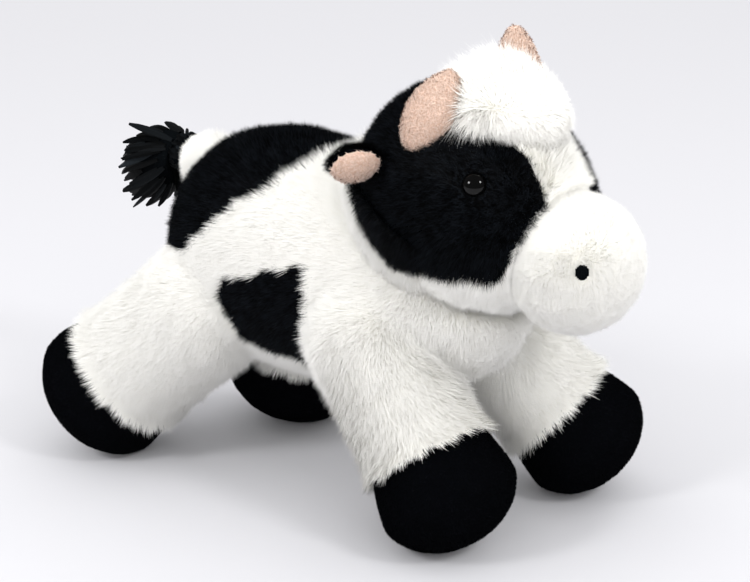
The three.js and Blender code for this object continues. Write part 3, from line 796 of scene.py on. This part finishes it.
BLADES = {"pile": (2, 0.3), "nap": (1, 0.0), "curl": (4, 0.9)}
STRANDS = {"tassel": (6, 5, 0.12)}
COATS = {
    "white_plush": ("white_base", "white_pile", "nap"),
    "black_plush": ("black_base", "black_pile", "nap"),
    "velour": ("velour_base", "velour_nap", "nap"),
    "fleece": ("fleece_base", "fleece_curl", "curl"),
    "yarn": ("yarn_base", "tassel_yarn", "tassel"),
    "eye_plastic": ("eye_gloss", None, None),
}


def tool(name):
    """A blade or a strand to plant, made once and hidden."""
    found = bpy.data.objects.get(f"blade_{name}")
    if not found:
        made, sizes = (strand, STRANDS) if name in STRANDS else (blade, BLADES)
        found = made(f"blade_{name}", *sizes[name])
        found.hide_render = True
    return found


def dress(piece, slot, *nodes, body=None, fill=None):
    """Gives a skin its cloth, hides the CAD nodes that it stands for and gives it its body; fill is not
    used.
    """
    piece.data.materials.clear()
    piece.data.materials.append(fabric(COATS[slot][0]))
    if nodes:
        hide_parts(*nodes)
    if body:
        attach(piece, body)


def curls(name, skin, body, seed):
    """Curls of fleece on a horn or on the lining of an ear."""
    return grow(
        name, skin, "fleece", body, density=4e6, length=bpy.context.scene.cow_pile.fleece,
        width=0.5 * MM, lean=0.2, wander=1.6, tufts=0.8, tuft_scale=420.0, variation=0.4, seed=seed,
    )


# Torso, legs and hooves

BODY_PARTS = ["torso_cover", "saddle_patch", "flank_patch_right", "flank_patch_left"]
LEG_PARTS = [f"leg_cover_{leg}" for leg in LEGS]
HOOF_PARTS = [f"hoof_cover_{leg}" for leg in LEGS]
FIRST_LEG = len(BODY_PARTS)
FIRST_HOOF = FIRST_LEG + len(LEGS)
SOLE_HEIGHT = 1.5 * MM
# Ways that the pile lies, and the spans over which one turns into the next
FLANK_WAY, CHEST_WAY, RUMP_WAY = [-1.0, 0, -0.4], [-0.1, 0, -1.0], [0.1, 0, -1.0]
LEG_DROOP = [0, 0, -1.6]
CHEST = (35 * MM, 80 * MM)
RUMP = (75 * MM, 105 * MM)
LEG_ROOT = (4 * MM, 36 * MM)
HOOF_EDGE = (0, 10 * MM)
PATCH_LEAN = 4.5 * MM


def hip_of(leg):
    """The place of a leg's joint."""
    return joint_place(f"{leg}_leg_swing")


def foot_of(leg):
    """The middle of a hoof."""
    low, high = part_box(f"hoof_cover_{leg}")
    return np.array((low + high) / 2)


def leg_blend(piece):
    """Bakes a leg's fabric's transform into its mesh; nothing bends it between the torso and the leg.
    """
    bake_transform(piece)


class COW_OT_body(Operator):
    """Makes torso, legs and hooves from one stuffed form, and their pile"""

    bl_idname = "cow.body"
    bl_label = "Torso, legs and hooves"

    def execute(self, context):
        pile = context.scene.cow_pile
        fillings = ["torso_filling"]
        fillings += [f"{kind}_{leg}" for kind in ("leg_filling", "hoof_pellets") for leg in LEGS]
        parts = BODY_PARTS + LEG_PARTS + HOOF_PARTS
        form = stuffed("body_form", parts + fillings, voxel=3 * MM, crevice=3 * MM, smooth=6)
        puff(form, pressure=4, cap=2.5 * MM)
        mesh = form.data
        rows = places(mesh)
        rows[:, 2] = np.maximum(rows[:, 2], 0)
        put(mesh, rows)
        out = normals(mesh)
        away = away_from(parts, rows)
        labels = face_means(mesh, away).argmin(axis=1)

        flow = turned(np.array(FLANK_WAY), CHEST_WAY, ease(rows[:, 0], *CHEST))
        flow = unit(turned(flow, RUMP_WAY, ease(-rows[:, 0], *RUMP)))
        trunk = away[:, :FIRST_LEG].min(axis=1)
        for index, leg in enumerate(LEGS):
            way = unit(foot_of(leg) - hip_of(leg))
            share = ease(trunk - away[:, FIRST_LEG + index], *LEG_ROOT)
            down = np.outer(share * (1 - share), LEG_DROOP)
            flow = unit(turned(flow, way, share) + down)
            flow = turned(flow, way, ease(trunk - away[:, FIRST_HOOF + index], *HOOF_EDGE))
        flow = laid(flow, out)
        dark = darkness(rows + flow * PATCH_LEAN, BODY_PARTS[:1] + LEG_PARTS, BODY_PARTS[1:])
        centres = face_means(mesh, rows)
        part = np.where(labels < FIRST_LEG, centres[:, 1] > frame_middle(), labels - 2)
        part[centres[:, 2] < SOLE_HEIGHT] = -1
        write_notes(mesh, out, flow, part, dark, np.ones(len(rows)))

        for index, node in enumerate(BODY_PARTS):
            skin = cut_out(form, f"{node}_skin", labels == index)
            if index:
                dress(skin, "black_plush", node, body="torso", fill=0.6)
            else:
                dress(skin, "white_plush", node, "torso_filling", body="torso", fill=0.6)
        for index, leg in enumerate(LEGS):
            skin = cut_out(form, f"leg_cover_{leg}_skin", labels == FIRST_LEG + index)
            dress(skin, "white_plush", f"leg_cover_{leg}", f"leg_filling_{leg}")
            leg_blend(skin)
            skin = cut_out(form, f"hoof_cover_{leg}_skin", labels == FIRST_HOOF + index)
            nodes = (f"hoof_cover_{leg}", f"hoof_pellets_{leg}")
            dress(skin, "velour", *nodes, body=f"{leg}_leg", fill=0.8)

        white_look = dict(
            density=7.0e6, length=pile.white, width=pile.fibre, lean=1.1, wander=0.35, tufts=0.18,
            tuft_scale=140.0, gloss_way=0.45,
        )
        # The black pile's glint flecks are painted highlights: fibres that seem to catch the light
        black_look = dict(
            density=7.0e6, length=pile.black, width=pile.fibre, lean=0.7, wander=0.55, tufts=0.2,
            tuft_scale=200.0, gloss_way=0.9, flecks=4.0,
        )
        for index, side in enumerate(SIDES):
            grow(
                f"torso_pile_{side}", form, "white_plush", "torso", part=index, side=-1.0,
                ragged=0.007, seed=3 + index, **white_look,
            )
            grow(
                f"patch_pile_{side}", form, "black_plush", "torso", part=index, side=1.0,
                ragged=0.007, seed=5 + index, **black_look,
            )
        for index, leg in enumerate(LEGS):
            fur = grow(
                f"leg_pile_{leg}", form, "white_plush", part=2 + index, seed=11 + index, **white_look
            )
            leg_blend(fur)
            grow(
                f"hoof_pile_{leg}", form, "velour", f"{leg}_leg", part=6 + index, density=2.6e6,
                length=pile.velour, width=0.45 * MM, lean=0.9, wander=0.5, tufts=0.3,
                variation=0.4, seed=21 + index,
            )
        remove(form)
        return {"FINISHED"}


# Head and neck

HEAD_WHITE = ["chin_panel", "blaze_panel"]
HEAD_BLACK = ["face_patch_right", "face_patch_left"]
MUZZLE = "muzzle_cover"
HEAD_PARTS = HEAD_WHITE + HEAD_BLACK + [MUZZLE]
# Ways that the face's pile lies, their spans, and how far round each node it is shorn
MUZZLE_WAY, CHIN_WAY = unit(np.array([-1.0, 0, -0.25])), [-0.25, 0, -1.0]
MUZZLE_REACH = (0, 14 * MM)
CHIN_REACH = (2 * MM, 10 * MM)
CHIN_DEPTH = (4 * MM, 22 * MM)
FACE_LEAN = 2 * MM
SHORN = {"eye": (6 * MM, 13 * MM), "nostril": (3 * MM, 7 * MM)}


class COW_OT_head(Operator):
    """Makes the head's panels and the muzzle from one stuffed form, and their pile"""

    bl_idname = "cow.head"
    bl_label = "Head"

    def execute(self, context):
        pile = context.scene.cow_pile
        form = stuffed("head_form", HEAD_PARTS + ["head_filling"], voxel=2.2 * MM, smooth=3)
        mesh = form.data
        rows, out = places(mesh), normals(mesh)
        away = away_from(HEAD_PARTS, rows)
        labels = face_means(mesh, away).argmin(axis=1)
        from_muzzle = away[:, HEAD_PARTS.index(MUZZLE)]
        flow = combed(out, low=-0.4, high=0.9, aside=0.2)
        flow = turned(flow, MUZZLE_WAY, ease(from_muzzle, *MUZZLE_REACH))
        depth = middle("head_filling")[2] - rows[:, 2]
        chin = ease(from_muzzle, *CHIN_REACH) * ease(depth, *CHIN_DEPTH)
        flow = laid(turned(flow, CHIN_WAY, chin), out)
        dark = darkness(rows + flow * FACE_LEAN, HEAD_WHITE + [MUZZLE], HEAD_BLACK)
        trim = 1 + 0.4 * chin
        for side in SIDES:
            for node, reach in SHORN.items():
                gap = np.linalg.norm(rows - middle(f"{node}_{side}"), axis=1)
                trim *= 0.3 + 0.7 * ease(gap, *reach)
        centres = face_means(mesh, rows)
        part = np.where(labels == HEAD_PARTS.index(MUZZLE), 2, centres[:, 1] > frame_middle())
        write_notes(mesh, out, flow, part, dark, trim)
        for index, node in enumerate(HEAD_PARTS):
            skin = cut_out(form, f"{node}_skin", labels == index)
            nodes = [node, "head_filling"] if node == MUZZLE else [node]
            slot = "black_plush" if node in HEAD_BLACK else "white_plush"
            dress(skin, slot, *nodes, body="head", fill=0.7)
        for index, side in enumerate(SIDES):
            # The face's black pile carries the same painted glints
            grow(
                f"face_pile_{side}", form, "black_plush", "head", part=index, side=1.0,
                density=8e6, length=pile.face, width=pile.fibre, lean=0.6, wander=0.6, tufts=0.2,
                ragged=0.004, tuft_scale=220.0, gloss_way=0.9, flecks=4.0, seed=31 + index,
            )
            grow(
                f"blaze_pile_{side}", form, "white_plush", "head", part=index, side=-1.0,
                density=8e6, length=pile.face * 1.2, width=pile.fibre * 0.9, lean=1.2,
                wander=0.25, tufts=0.2, ragged=0.003, tuft_scale=130.0, gloss_way=0.0,
                seed=33 + index,
            )
        grow(
            "muzzle_pile", form, "white_plush", "head", part=2, density=11e6, length=pile.muzzle,
            width=pile.fibre * 0.85, lean=0.9, wander=0.45, tufts=0.3, tuft_scale=200.0,
            gloss_way=0.15, seed=35,
        )
        remove(form)
        return {"FINISHED"}


# The lower edge of the neck's black pile, seen from its joint: it climbs towards the back
NAPE_EDGE = -31 * MM
NAPE_START = -6 * MM
NAPE_SLOPE = 1.28


class COW_OT_neck(Operator):
    """Makes the neck's collar and its pile"""

    bl_idname = "cow.neck"
    bl_label = "Neck"

    def execute(self, context):
        pile = context.scene.cow_pile
        form = stuffed("neck_form", ["neck_cover"], voxel=1.6 * MM)
        rows, out = places(form.data), normals(form.data)
        centre = joint_place("head_turn")
        local = rows - centre
        outward = (out * unit(local)).sum(axis=1)
        inside = face_means(form.data, outward) <= 0.1
        edge = NAPE_EDGE + NAPE_SLOPE * np.maximum(0, NAPE_START - local[:, 0])
        dark = local[:, 2] - edge
        fielded(form, out, [-0.3, 0, -1.0], inside, dark)
        fur = grow(
            "neck_pile", form, "white_plush", side=-1.0, density=7e6, length=pile.white,
            width=pile.fibre, lean=1.1, wander=0.35, tufts=0.18, tuft_scale=140.0, seed=41,
        )
        nape_fur = grow(
            "nape_pile", form, "black_plush", side=1.0, density=8e6, length=pile.face,
            width=pile.fibre * 0.9, lean=1.0, wander=0.3, tufts=0.25, tuft_scale=160.0, seed=42,
        )
        black = face_means(form.data, dark) > 0
        nape = cut_out(form, "nape_skin", black)
        collar = cut_out(form, "neck_cover_skin", ~black)
        remove(form)
        dress(nape, "black_plush")
        dress(collar, "white_plush", "neck_cover")
        for piece in (nape, collar, fur, nape_fur):
            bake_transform(piece)
        return {"FINISHED"}


class COW_OT_horns(Operator):
    """Makes the fleece horns"""

    bl_idname = "cow.horns"
    bl_label = "Horns"

    def execute(self, context):
        for index, side in enumerate(SIDES):
            nodes = [f"horn_cover_{side}", f"horn_filling_{side}"]
            form = stuffed(f"horn_cover_{side}_skin", nodes, voxel=1.2 * MM)
            fielded(form, normals(form.data), [0, 0, 1.0])
            curls(f"horn_curls_{side}", form, "head", 51 + index)
            dress(form, "fleece", *nodes, body="head", fill=0.9)
        return {"FINISHED"}


EAR_SEAM = 1.2 * MM


def ear_layer(node, other, hinge):
    """One layer of an ear, combed away from its hinge, and bare where the other layer lies on it."""
    form = stuffed(f"{node}_skin", [node], voxel=0.9 * MM, smooth=3)
    rows, out = places(form.data), normals(form.data)
    covered = distances(surface([other]), face_means(form.data, rows)) < EAR_SEAM
    fielded(form, out, unit(rows - hinge), covered)
    return form


class COW_OT_ears(Operator):
    """Makes the ears, plush behind and fleece inside"""

    bl_idname = "cow.ears"
    bl_label = "Ears"

    def execute(self, context):
        pile = context.scene.cow_pile
        for index, side in enumerate(SIDES):
            body, outer, inner = f"{side}_ear", f"ear_{side}", f"ear_lining_{side}"
            hinge = joint_place(f"{side}_ear_flap")
            back = ear_layer(outer, inner, hinge)
            grow(
                f"ear_pile_{side}", back, "black_plush", body, density=8e6,
                length=pile.face * 0.8, width=pile.fibre * 0.9, lean=1.0, wander=0.3, tufts=0.25,
                tuft_scale=160.0, seed=61 + index,
            )
            lining = ear_layer(inner, outer, hinge)
            curls(f"ear_curls_{side}", lining, body, 63 + index)
            dress(back, "black_plush", outer, body=body, fill=0.5)
            dress(lining, "fleece", inner, body=body, fill=0.5)
        return {"FINISHED"}


# The forelock's shorter hair beside the face
FRINGE_BACK = 12 * MM
FRINGE_SIDES = (8 * MM, 20 * MM)
FRINGE_HEIGHT = 22 * MM
FRINGE_BLEND = (0, 14 * MM)


class COW_OT_forelock(Operator):
    """Makes the tuft of long hair between the horns"""

    bl_idname = "cow.forelock"
    bl_label = "Forelock"

    def execute(self, context):
        pile = context.scene.cow_pile
        form = stuffed("forelock_skin", ["forelock"], voxel=1.8 * MM)
        rows, out = places(form.data), normals(form.data)
        low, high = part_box("forelock")
        middle_x = (low.x + high.x) / 2
        trim = 1 - 0.6 * ease(rows[:, 0], middle_x, high.x - 8 * MM)
        fringe = ease(rows[:, 0], middle_x - FRINGE_BACK, middle_x)
        fringe *= ease(abs(rows[:, 1] - frame_middle()), *FRINGE_SIDES)
        fringe *= ease(low.z + FRINGE_HEIGHT - rows[:, 2], *FRINGE_BLEND)
        trim *= 1 - 0.5 * fringe
        fielded(form, out, combed(out, low=0.1, high=0.8, aside=0.9), trim=trim)
        grow(
            "forelock_hair", form, "white_plush", "head", "pile", density=10e6,
            length=pile.forelock, width=0.22 * MM, lean=1.1, wander=0.5, tufts=0.45,
            tuft_scale=70.0, variation=0.45, seed=71,
        )
        dress(form, "white_plush", "forelock", body="head", fill=0.5)
        return {"FINISHED"}


# The yarn-bound end of the tail, and the tassel's root beyond the corner of its box
TAIL_END = 12 * MM
TAIL_FULL = 14 * MM
TASSEL_ROOT = (16 * MM, -8 * MM)
TASSEL_SPAN = (18 * MM, 44 * MM)
TASSEL_INSET = 2.5 * MM


class COW_OT_tail(Operator):
    """Makes the tail and its tassel"""

    bl_idname = "cow.tail"
    bl_label = "Tail"

    def execute(self, context):
        pile = context.scene.cow_pile
        form = stuffed("tail_form", ["tail_cover", "tail_filling"], voxel=1.6 * MM)
        rows, out = places(form.data), normals(form.data)
        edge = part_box("tail_cover")[0].x + TAIL_END
        trim = 0.3 + 0.7 * ease(rows[:, 0], edge, edge + TAIL_FULL)
        fielded(form, out, [-1.0, 0, 0.1], dark=edge - rows[:, 0], trim=trim)
        grow(
            "tail_pile", form, "white_plush", "tail", side=-1.0, density=9e6,
            length=pile.white * 1.1, width=pile.fibre, lean=0.6, wander=0.3, tufts=0.25,
            tuft_scale=90.0, seed=81,
        )
        yarn_look = dict(
            width=2.2 * MM, side=1.0, wander=0.3, tufts=0.3, tuft_scale=120.0, variation=0.45
        )
        grow(
            "tail_wrap_strands", form, "yarn", "tail", density=0.25e6, length=13 * MM, lean=4.5,
            seed=83, **yarn_look,
        )
        bound = face_means(form.data, rows)[:, 0] < edge
        end = cut_out(form, "tail_end_skin", bound)
        cover = cut_out(form, "tail_cover_skin", ~bound)
        remove(form)
        dress(end, "yarn", body="tail", fill=0.5)
        dress(cover, "white_plush", "tail_cover", "tail_filling", body="tail", fill=0.5)

        tuft = stuffed("tail_tassel_skin", ["tail_tassel"], voxel=1.6 * MM)
        rows, out = places(tuft.data), normals(tuft.data)
        low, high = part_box("tail_tassel")
        ahead, above = TASSEL_ROOT
        root = np.array((high.x + ahead, (low.y + high.y) / 2, high.z + above))
        away = unit(rows - root)
        span = np.linalg.norm(rows - root, axis=1)
        trim = 0.9 - 0.5 * ease(span, *TASSEL_SPAN) + 0.25 * ease(-away[:, 2], 0.1, 0.7)
        bare = distances(surface(["tail_cover"]), rows) - 1.5 * MM
        bare = np.minimum(bare, (0.22 - away[:, 2]) * 20 * MM)
        fielded(tuft, out, away * [1, 1, 0.4] + [-0.8, 0, -0.7], dark=bare, trim=trim)
        put(tuft.data, rows - out * TASSEL_INSET)
        grow(
            "tail_tassel_strands", tuft, "yarn", "tail", density=0.08e6, length=pile.tassel,
            lean=2.4, seed=82, **yarn_look,
        )
        dress(tuft, "yarn", "tail_tassel", body="tail", fill=0.5)
        return {"FINISHED"}


# Eyes and nostrils


class COW_OT_face(Operator):
    """Makes the eyes and the embroidered nostrils"""

    bl_idname = "cow.face"
    bl_label = "Eyes and nostrils"

    def execute(self, context):
        for side in SIDES:
            rows = corners(f"eye_{side}")
            seat = middle(f"eye_washer_{side}")
            way = unit(middle(f"eye_{side}") - seat)
            along = (rows - seat) @ way
            across = np.linalg.norm(rows - seat - along[:, None] * way, axis=1)
            radius = across.max()
            top, base = along.max(), along[across > radius * 0.98].min()
            eye = dome(f"eye_{side}_dome", seat, way, radius, base, top)
            dress(eye, "eye_plastic", f"eye_{side}", body="head")
            washer = NODES[f"eye_washer_{side}"]
            washer.data.materials.clear()
            washer.data.materials.append(fabric("washer_plastic"))
            nostril = stitched(f"nostril_{side}_stitches", f"nostril_{side}")
            dress(nostril, "yarn", f"nostril_{side}", body="head")
        return {"FINISHED"}


def stitched(name, node, threads=8, sides=6, steps=8):
    """Satin stitches side by side over an embroidered dot."""
    rows = corners(node)
    centre = (rows.max(axis=0) + rows.min(axis=0)) / 2
    local = rows - centre
    out = np.linalg.svd(local)[2][2]
    out = out * np.sign(out @ (centre - middle("head_filling")))
    up = unit(np.array([0, 0, 1.0]) - out[2] * out)
    beside = np.cross(up, out)
    reach = np.linalg.norm(local - (local @ out)[:, None] * out, axis=1).max()
    top = (local @ out).max()
    mesh = bmesh.new()
    random = np.random.default_rng(9)
    for thread in range(threads):
        aside = reach * (2 * (thread + 0.5) / threads - 1)
        half = math.sqrt(reach * reach - aside * aside) * random.uniform(1.0, 1.25)
        radius = reach / threads * 1.25
        rings = []
        for step in range(steps + 1):
            turn = math.pi * (step / steps - 0.5)
            at = centre + beside * aside + up * half * math.sin(turn)
            at = at + out * (top * (2 * math.cos(turn) - 1) + radius * 0.4)
            rings.append([
                mesh.verts.new(at + radius * (beside * x + out * y)) for x, y in circle(sides)
            ])
        join_rings(mesh, rings)
        mesh.faces.new(rings[0])
        mesh.faces.new(rings[-1][::-1])
    bmesh.ops.recalc_face_normals(mesh, faces=mesh.faces)
    return into_object(mesh, name, smooth=True)


def dome(name, seat, way, radius, base, top, sides=48, steps=12):
    """A smooth dome with a short skirt under it, round the line through the seat."""
    mesh = bmesh.new()
    skirt = base - 1.5 * MM
    profile = [(radius * 0.9, skirt), (radius * 0.985, base - 0.4 * MM)]
    for step in range(steps):
        angle = math.pi / 2 * step / steps
        profile.append((radius * math.cos(angle), base + (top - base) * math.sin(angle)))
    bottom = mesh.verts.new((0, 0, skirt))
    peak = mesh.verts.new((0, 0, top))
    rings = [[mesh.verts.new((r * x, r * y, z)) for x, y in circle(sides)] for r, z in profile]
    join_rings(mesh, rings)
    for side in range(sides):
        after = (side + 1) % sides
        mesh.faces.new((bottom, rings[0][after], rings[0][side]))
        mesh.faces.new((peak, rings[-1][side], rings[-1][after]))
    turn = Vector((0, 0, 1)).rotation_difference(Vector(way))
    for vertex in mesh.verts:
        vertex.co = turn @ vertex.co + Vector(seat)
    return into_object(mesh, name, smooth=True)


# Stage

PHOTO_WIDTH = 750
FOCAL_PIXELS = 1804
SENSOR = 36
CAMERA_TARGET = Vector((14.34, 0.86, 101)) * MM
CAMERA_HEADING = (43, 17.5)
CAMERA_DISTANCE = 0.88
LAMP_TARGET = Vector((60, 0, 100)) * MM
LAMP_DISTANCE = 1.5
BACKDROP_STRENGTH = 1.62
GLOSS_DIMMING = -0.85


def heading(azimuth, elevation):
    """The way from the cow towards an azimuth and an elevation, in degrees."""
    a, e = math.radians(azimuth), math.radians(elevation)
    return Vector((math.sin(a) * math.cos(e), -math.cos(a) * math.cos(e), math.sin(e)))


def aimed(name, data, way, place=(0, 0, 0)):
    """A lamp or a camera at a place, which looks back along the way."""
    made = add_object(name, data)
    made.location = place
    made.rotation_mode = "QUATERNION"
    made.rotation_quaternion = way.to_track_quat("Z", "Y")
    return made


class COW_OT_stage(Operator):
    """Makes the floor, the lights and the camera"""

    bl_idname = "cow.stage"
    bl_label = "Stage"

    def execute(self, context):
        scene = context.scene
        c, light = scene.cow_colours, scene.cow_light
        mesh = bmesh.new()
        bmesh.ops.create_circle(mesh, cap_ends=True, segments=96, radius=8)
        floor = into_object(mesh, "floor")
        floor.data.materials.append(fabric("floor_paper"))

        world = bpy.data.worlds.new("studio")
        scene.world = world
        world.use_nodes = True
        tree = world.node_tree
        tree.nodes.clear()
        path = wire(tree, "ShaderNodeLightPath").outputs
        seen = maths(tree, "MAXIMUM", path["Is Camera Ray"], path["Is Transmission Ray"])
        dim = maths(tree, "MULTIPLY_ADD", path["Is Glossy Ray"], GLOSS_DIMMING, 1.0)
        strength = maths(tree, "MULTIPLY", dim, light.ambient)
        even = wire(tree, "ShaderNodeBackground", (1, 1, 1, 1), strength)
        back = wire(tree, "ShaderNodeBackground", (*c.floor, 1), BACKDROP_STRENGTH)
        mix = wire(tree, "ShaderNodeMixShader", seen, even.outputs[0], back.outputs[0])
        wire(tree, "ShaderNodeOutputWorld", mix.outputs[0])

        for name, azimuth, elevation, strength, angle in (
            ("key", 20, 62, light.key, 50),
            ("fill", 50, 18, light.fill, 60),
        ):
            lamp = bpy.data.lights.new(name, "SUN")
            lamp.energy = strength
            lamp.angle = math.radians(angle)
            aimed(name, lamp, heading(azimuth, elevation)).visible_glossy = False
        for name, azimuth, elevation in (("softbox_left", -10, 35), ("softbox_right", 85, 40)):
            lamp = bpy.data.lights.new(name, "AREA")
            lamp.energy = 7
            lamp.size = 0.30
            way = heading(azimuth, elevation)
            aimed(name, lamp, way, way * LAMP_DISTANCE + LAMP_TARGET)

        lens = bpy.data.cameras.new("camera")
        lens.sensor_width = SENSOR
        lens.lens = FOCAL_PIXELS * SENSOR / PHOTO_WIDTH
        lens.clip_end = 50
        way = heading(*CAMERA_HEADING)
        scene.camera = aimed("camera", lens, way, CAMERA_TARGET + way * CAMERA_DISTANCE)
        scene.view_settings.view_transform = "Standard"
        return {"FINISHED"}


class COW_PT_panel(Panel):
    """Lists the steps and their settings"""

    bl_idname = "COW_PT_panel"
    bl_label = "Plush Cow"
    bl_space_type = "VIEW_3D"
    bl_region_type = "UI"
    bl_category = "Plush Cow"

    def draw(self, context):
        for operator in OPERATORS:
            self.layout.operator(operator.bl_idname)
        for group in (context.scene.cow_pile, context.scene.cow_colours, context.scene.cow_light):
            box = self.layout.box()
            for key in group.__annotations__:
                box.prop(group, key)


OPERATORS = (
    COW_OT_stage,
    COW_OT_body,
    COW_OT_neck,
    COW_OT_head,
    COW_OT_horns,
    COW_OT_ears,
    COW_OT_forelock,
    COW_OT_tail,
    COW_OT_face,
)
GROUPS = {"cow_pile": CowPile, "cow_colours": CowColours, "cow_light": CowLight}


def register():
    for group in GROUPS.values():
        bpy.utils.register_class(group)
    for operator in OPERATORS:
        bpy.utils.register_class(operator)
    bpy.utils.register_class(COW_PT_panel)
    for name, group in GROUPS.items():
        setattr(bpy.types.Scene, name, PointerProperty(type=group))


def unregister():
    for name in GROUPS:
        delattr(bpy.types.Scene, name)
    bpy.utils.unregister_class(COW_PT_panel)
    for operator in reversed(OPERATORS):
        bpy.utils.unregister_class(operator)
    for group in reversed(list(GROUPS.values())):
        bpy.utils.unregister_class(group)


def main():
    """Makes every piece in order."""
    register()
    for operator in OPERATORS:
        package, name = operator.bl_idname.split(".")
        getattr(getattr(bpy.ops, package), name)()
    for found in [o for o in bpy.data.objects if o.name.startswith("blade_")]:
        remove(found)


if __name__ == "__main__":
    main()
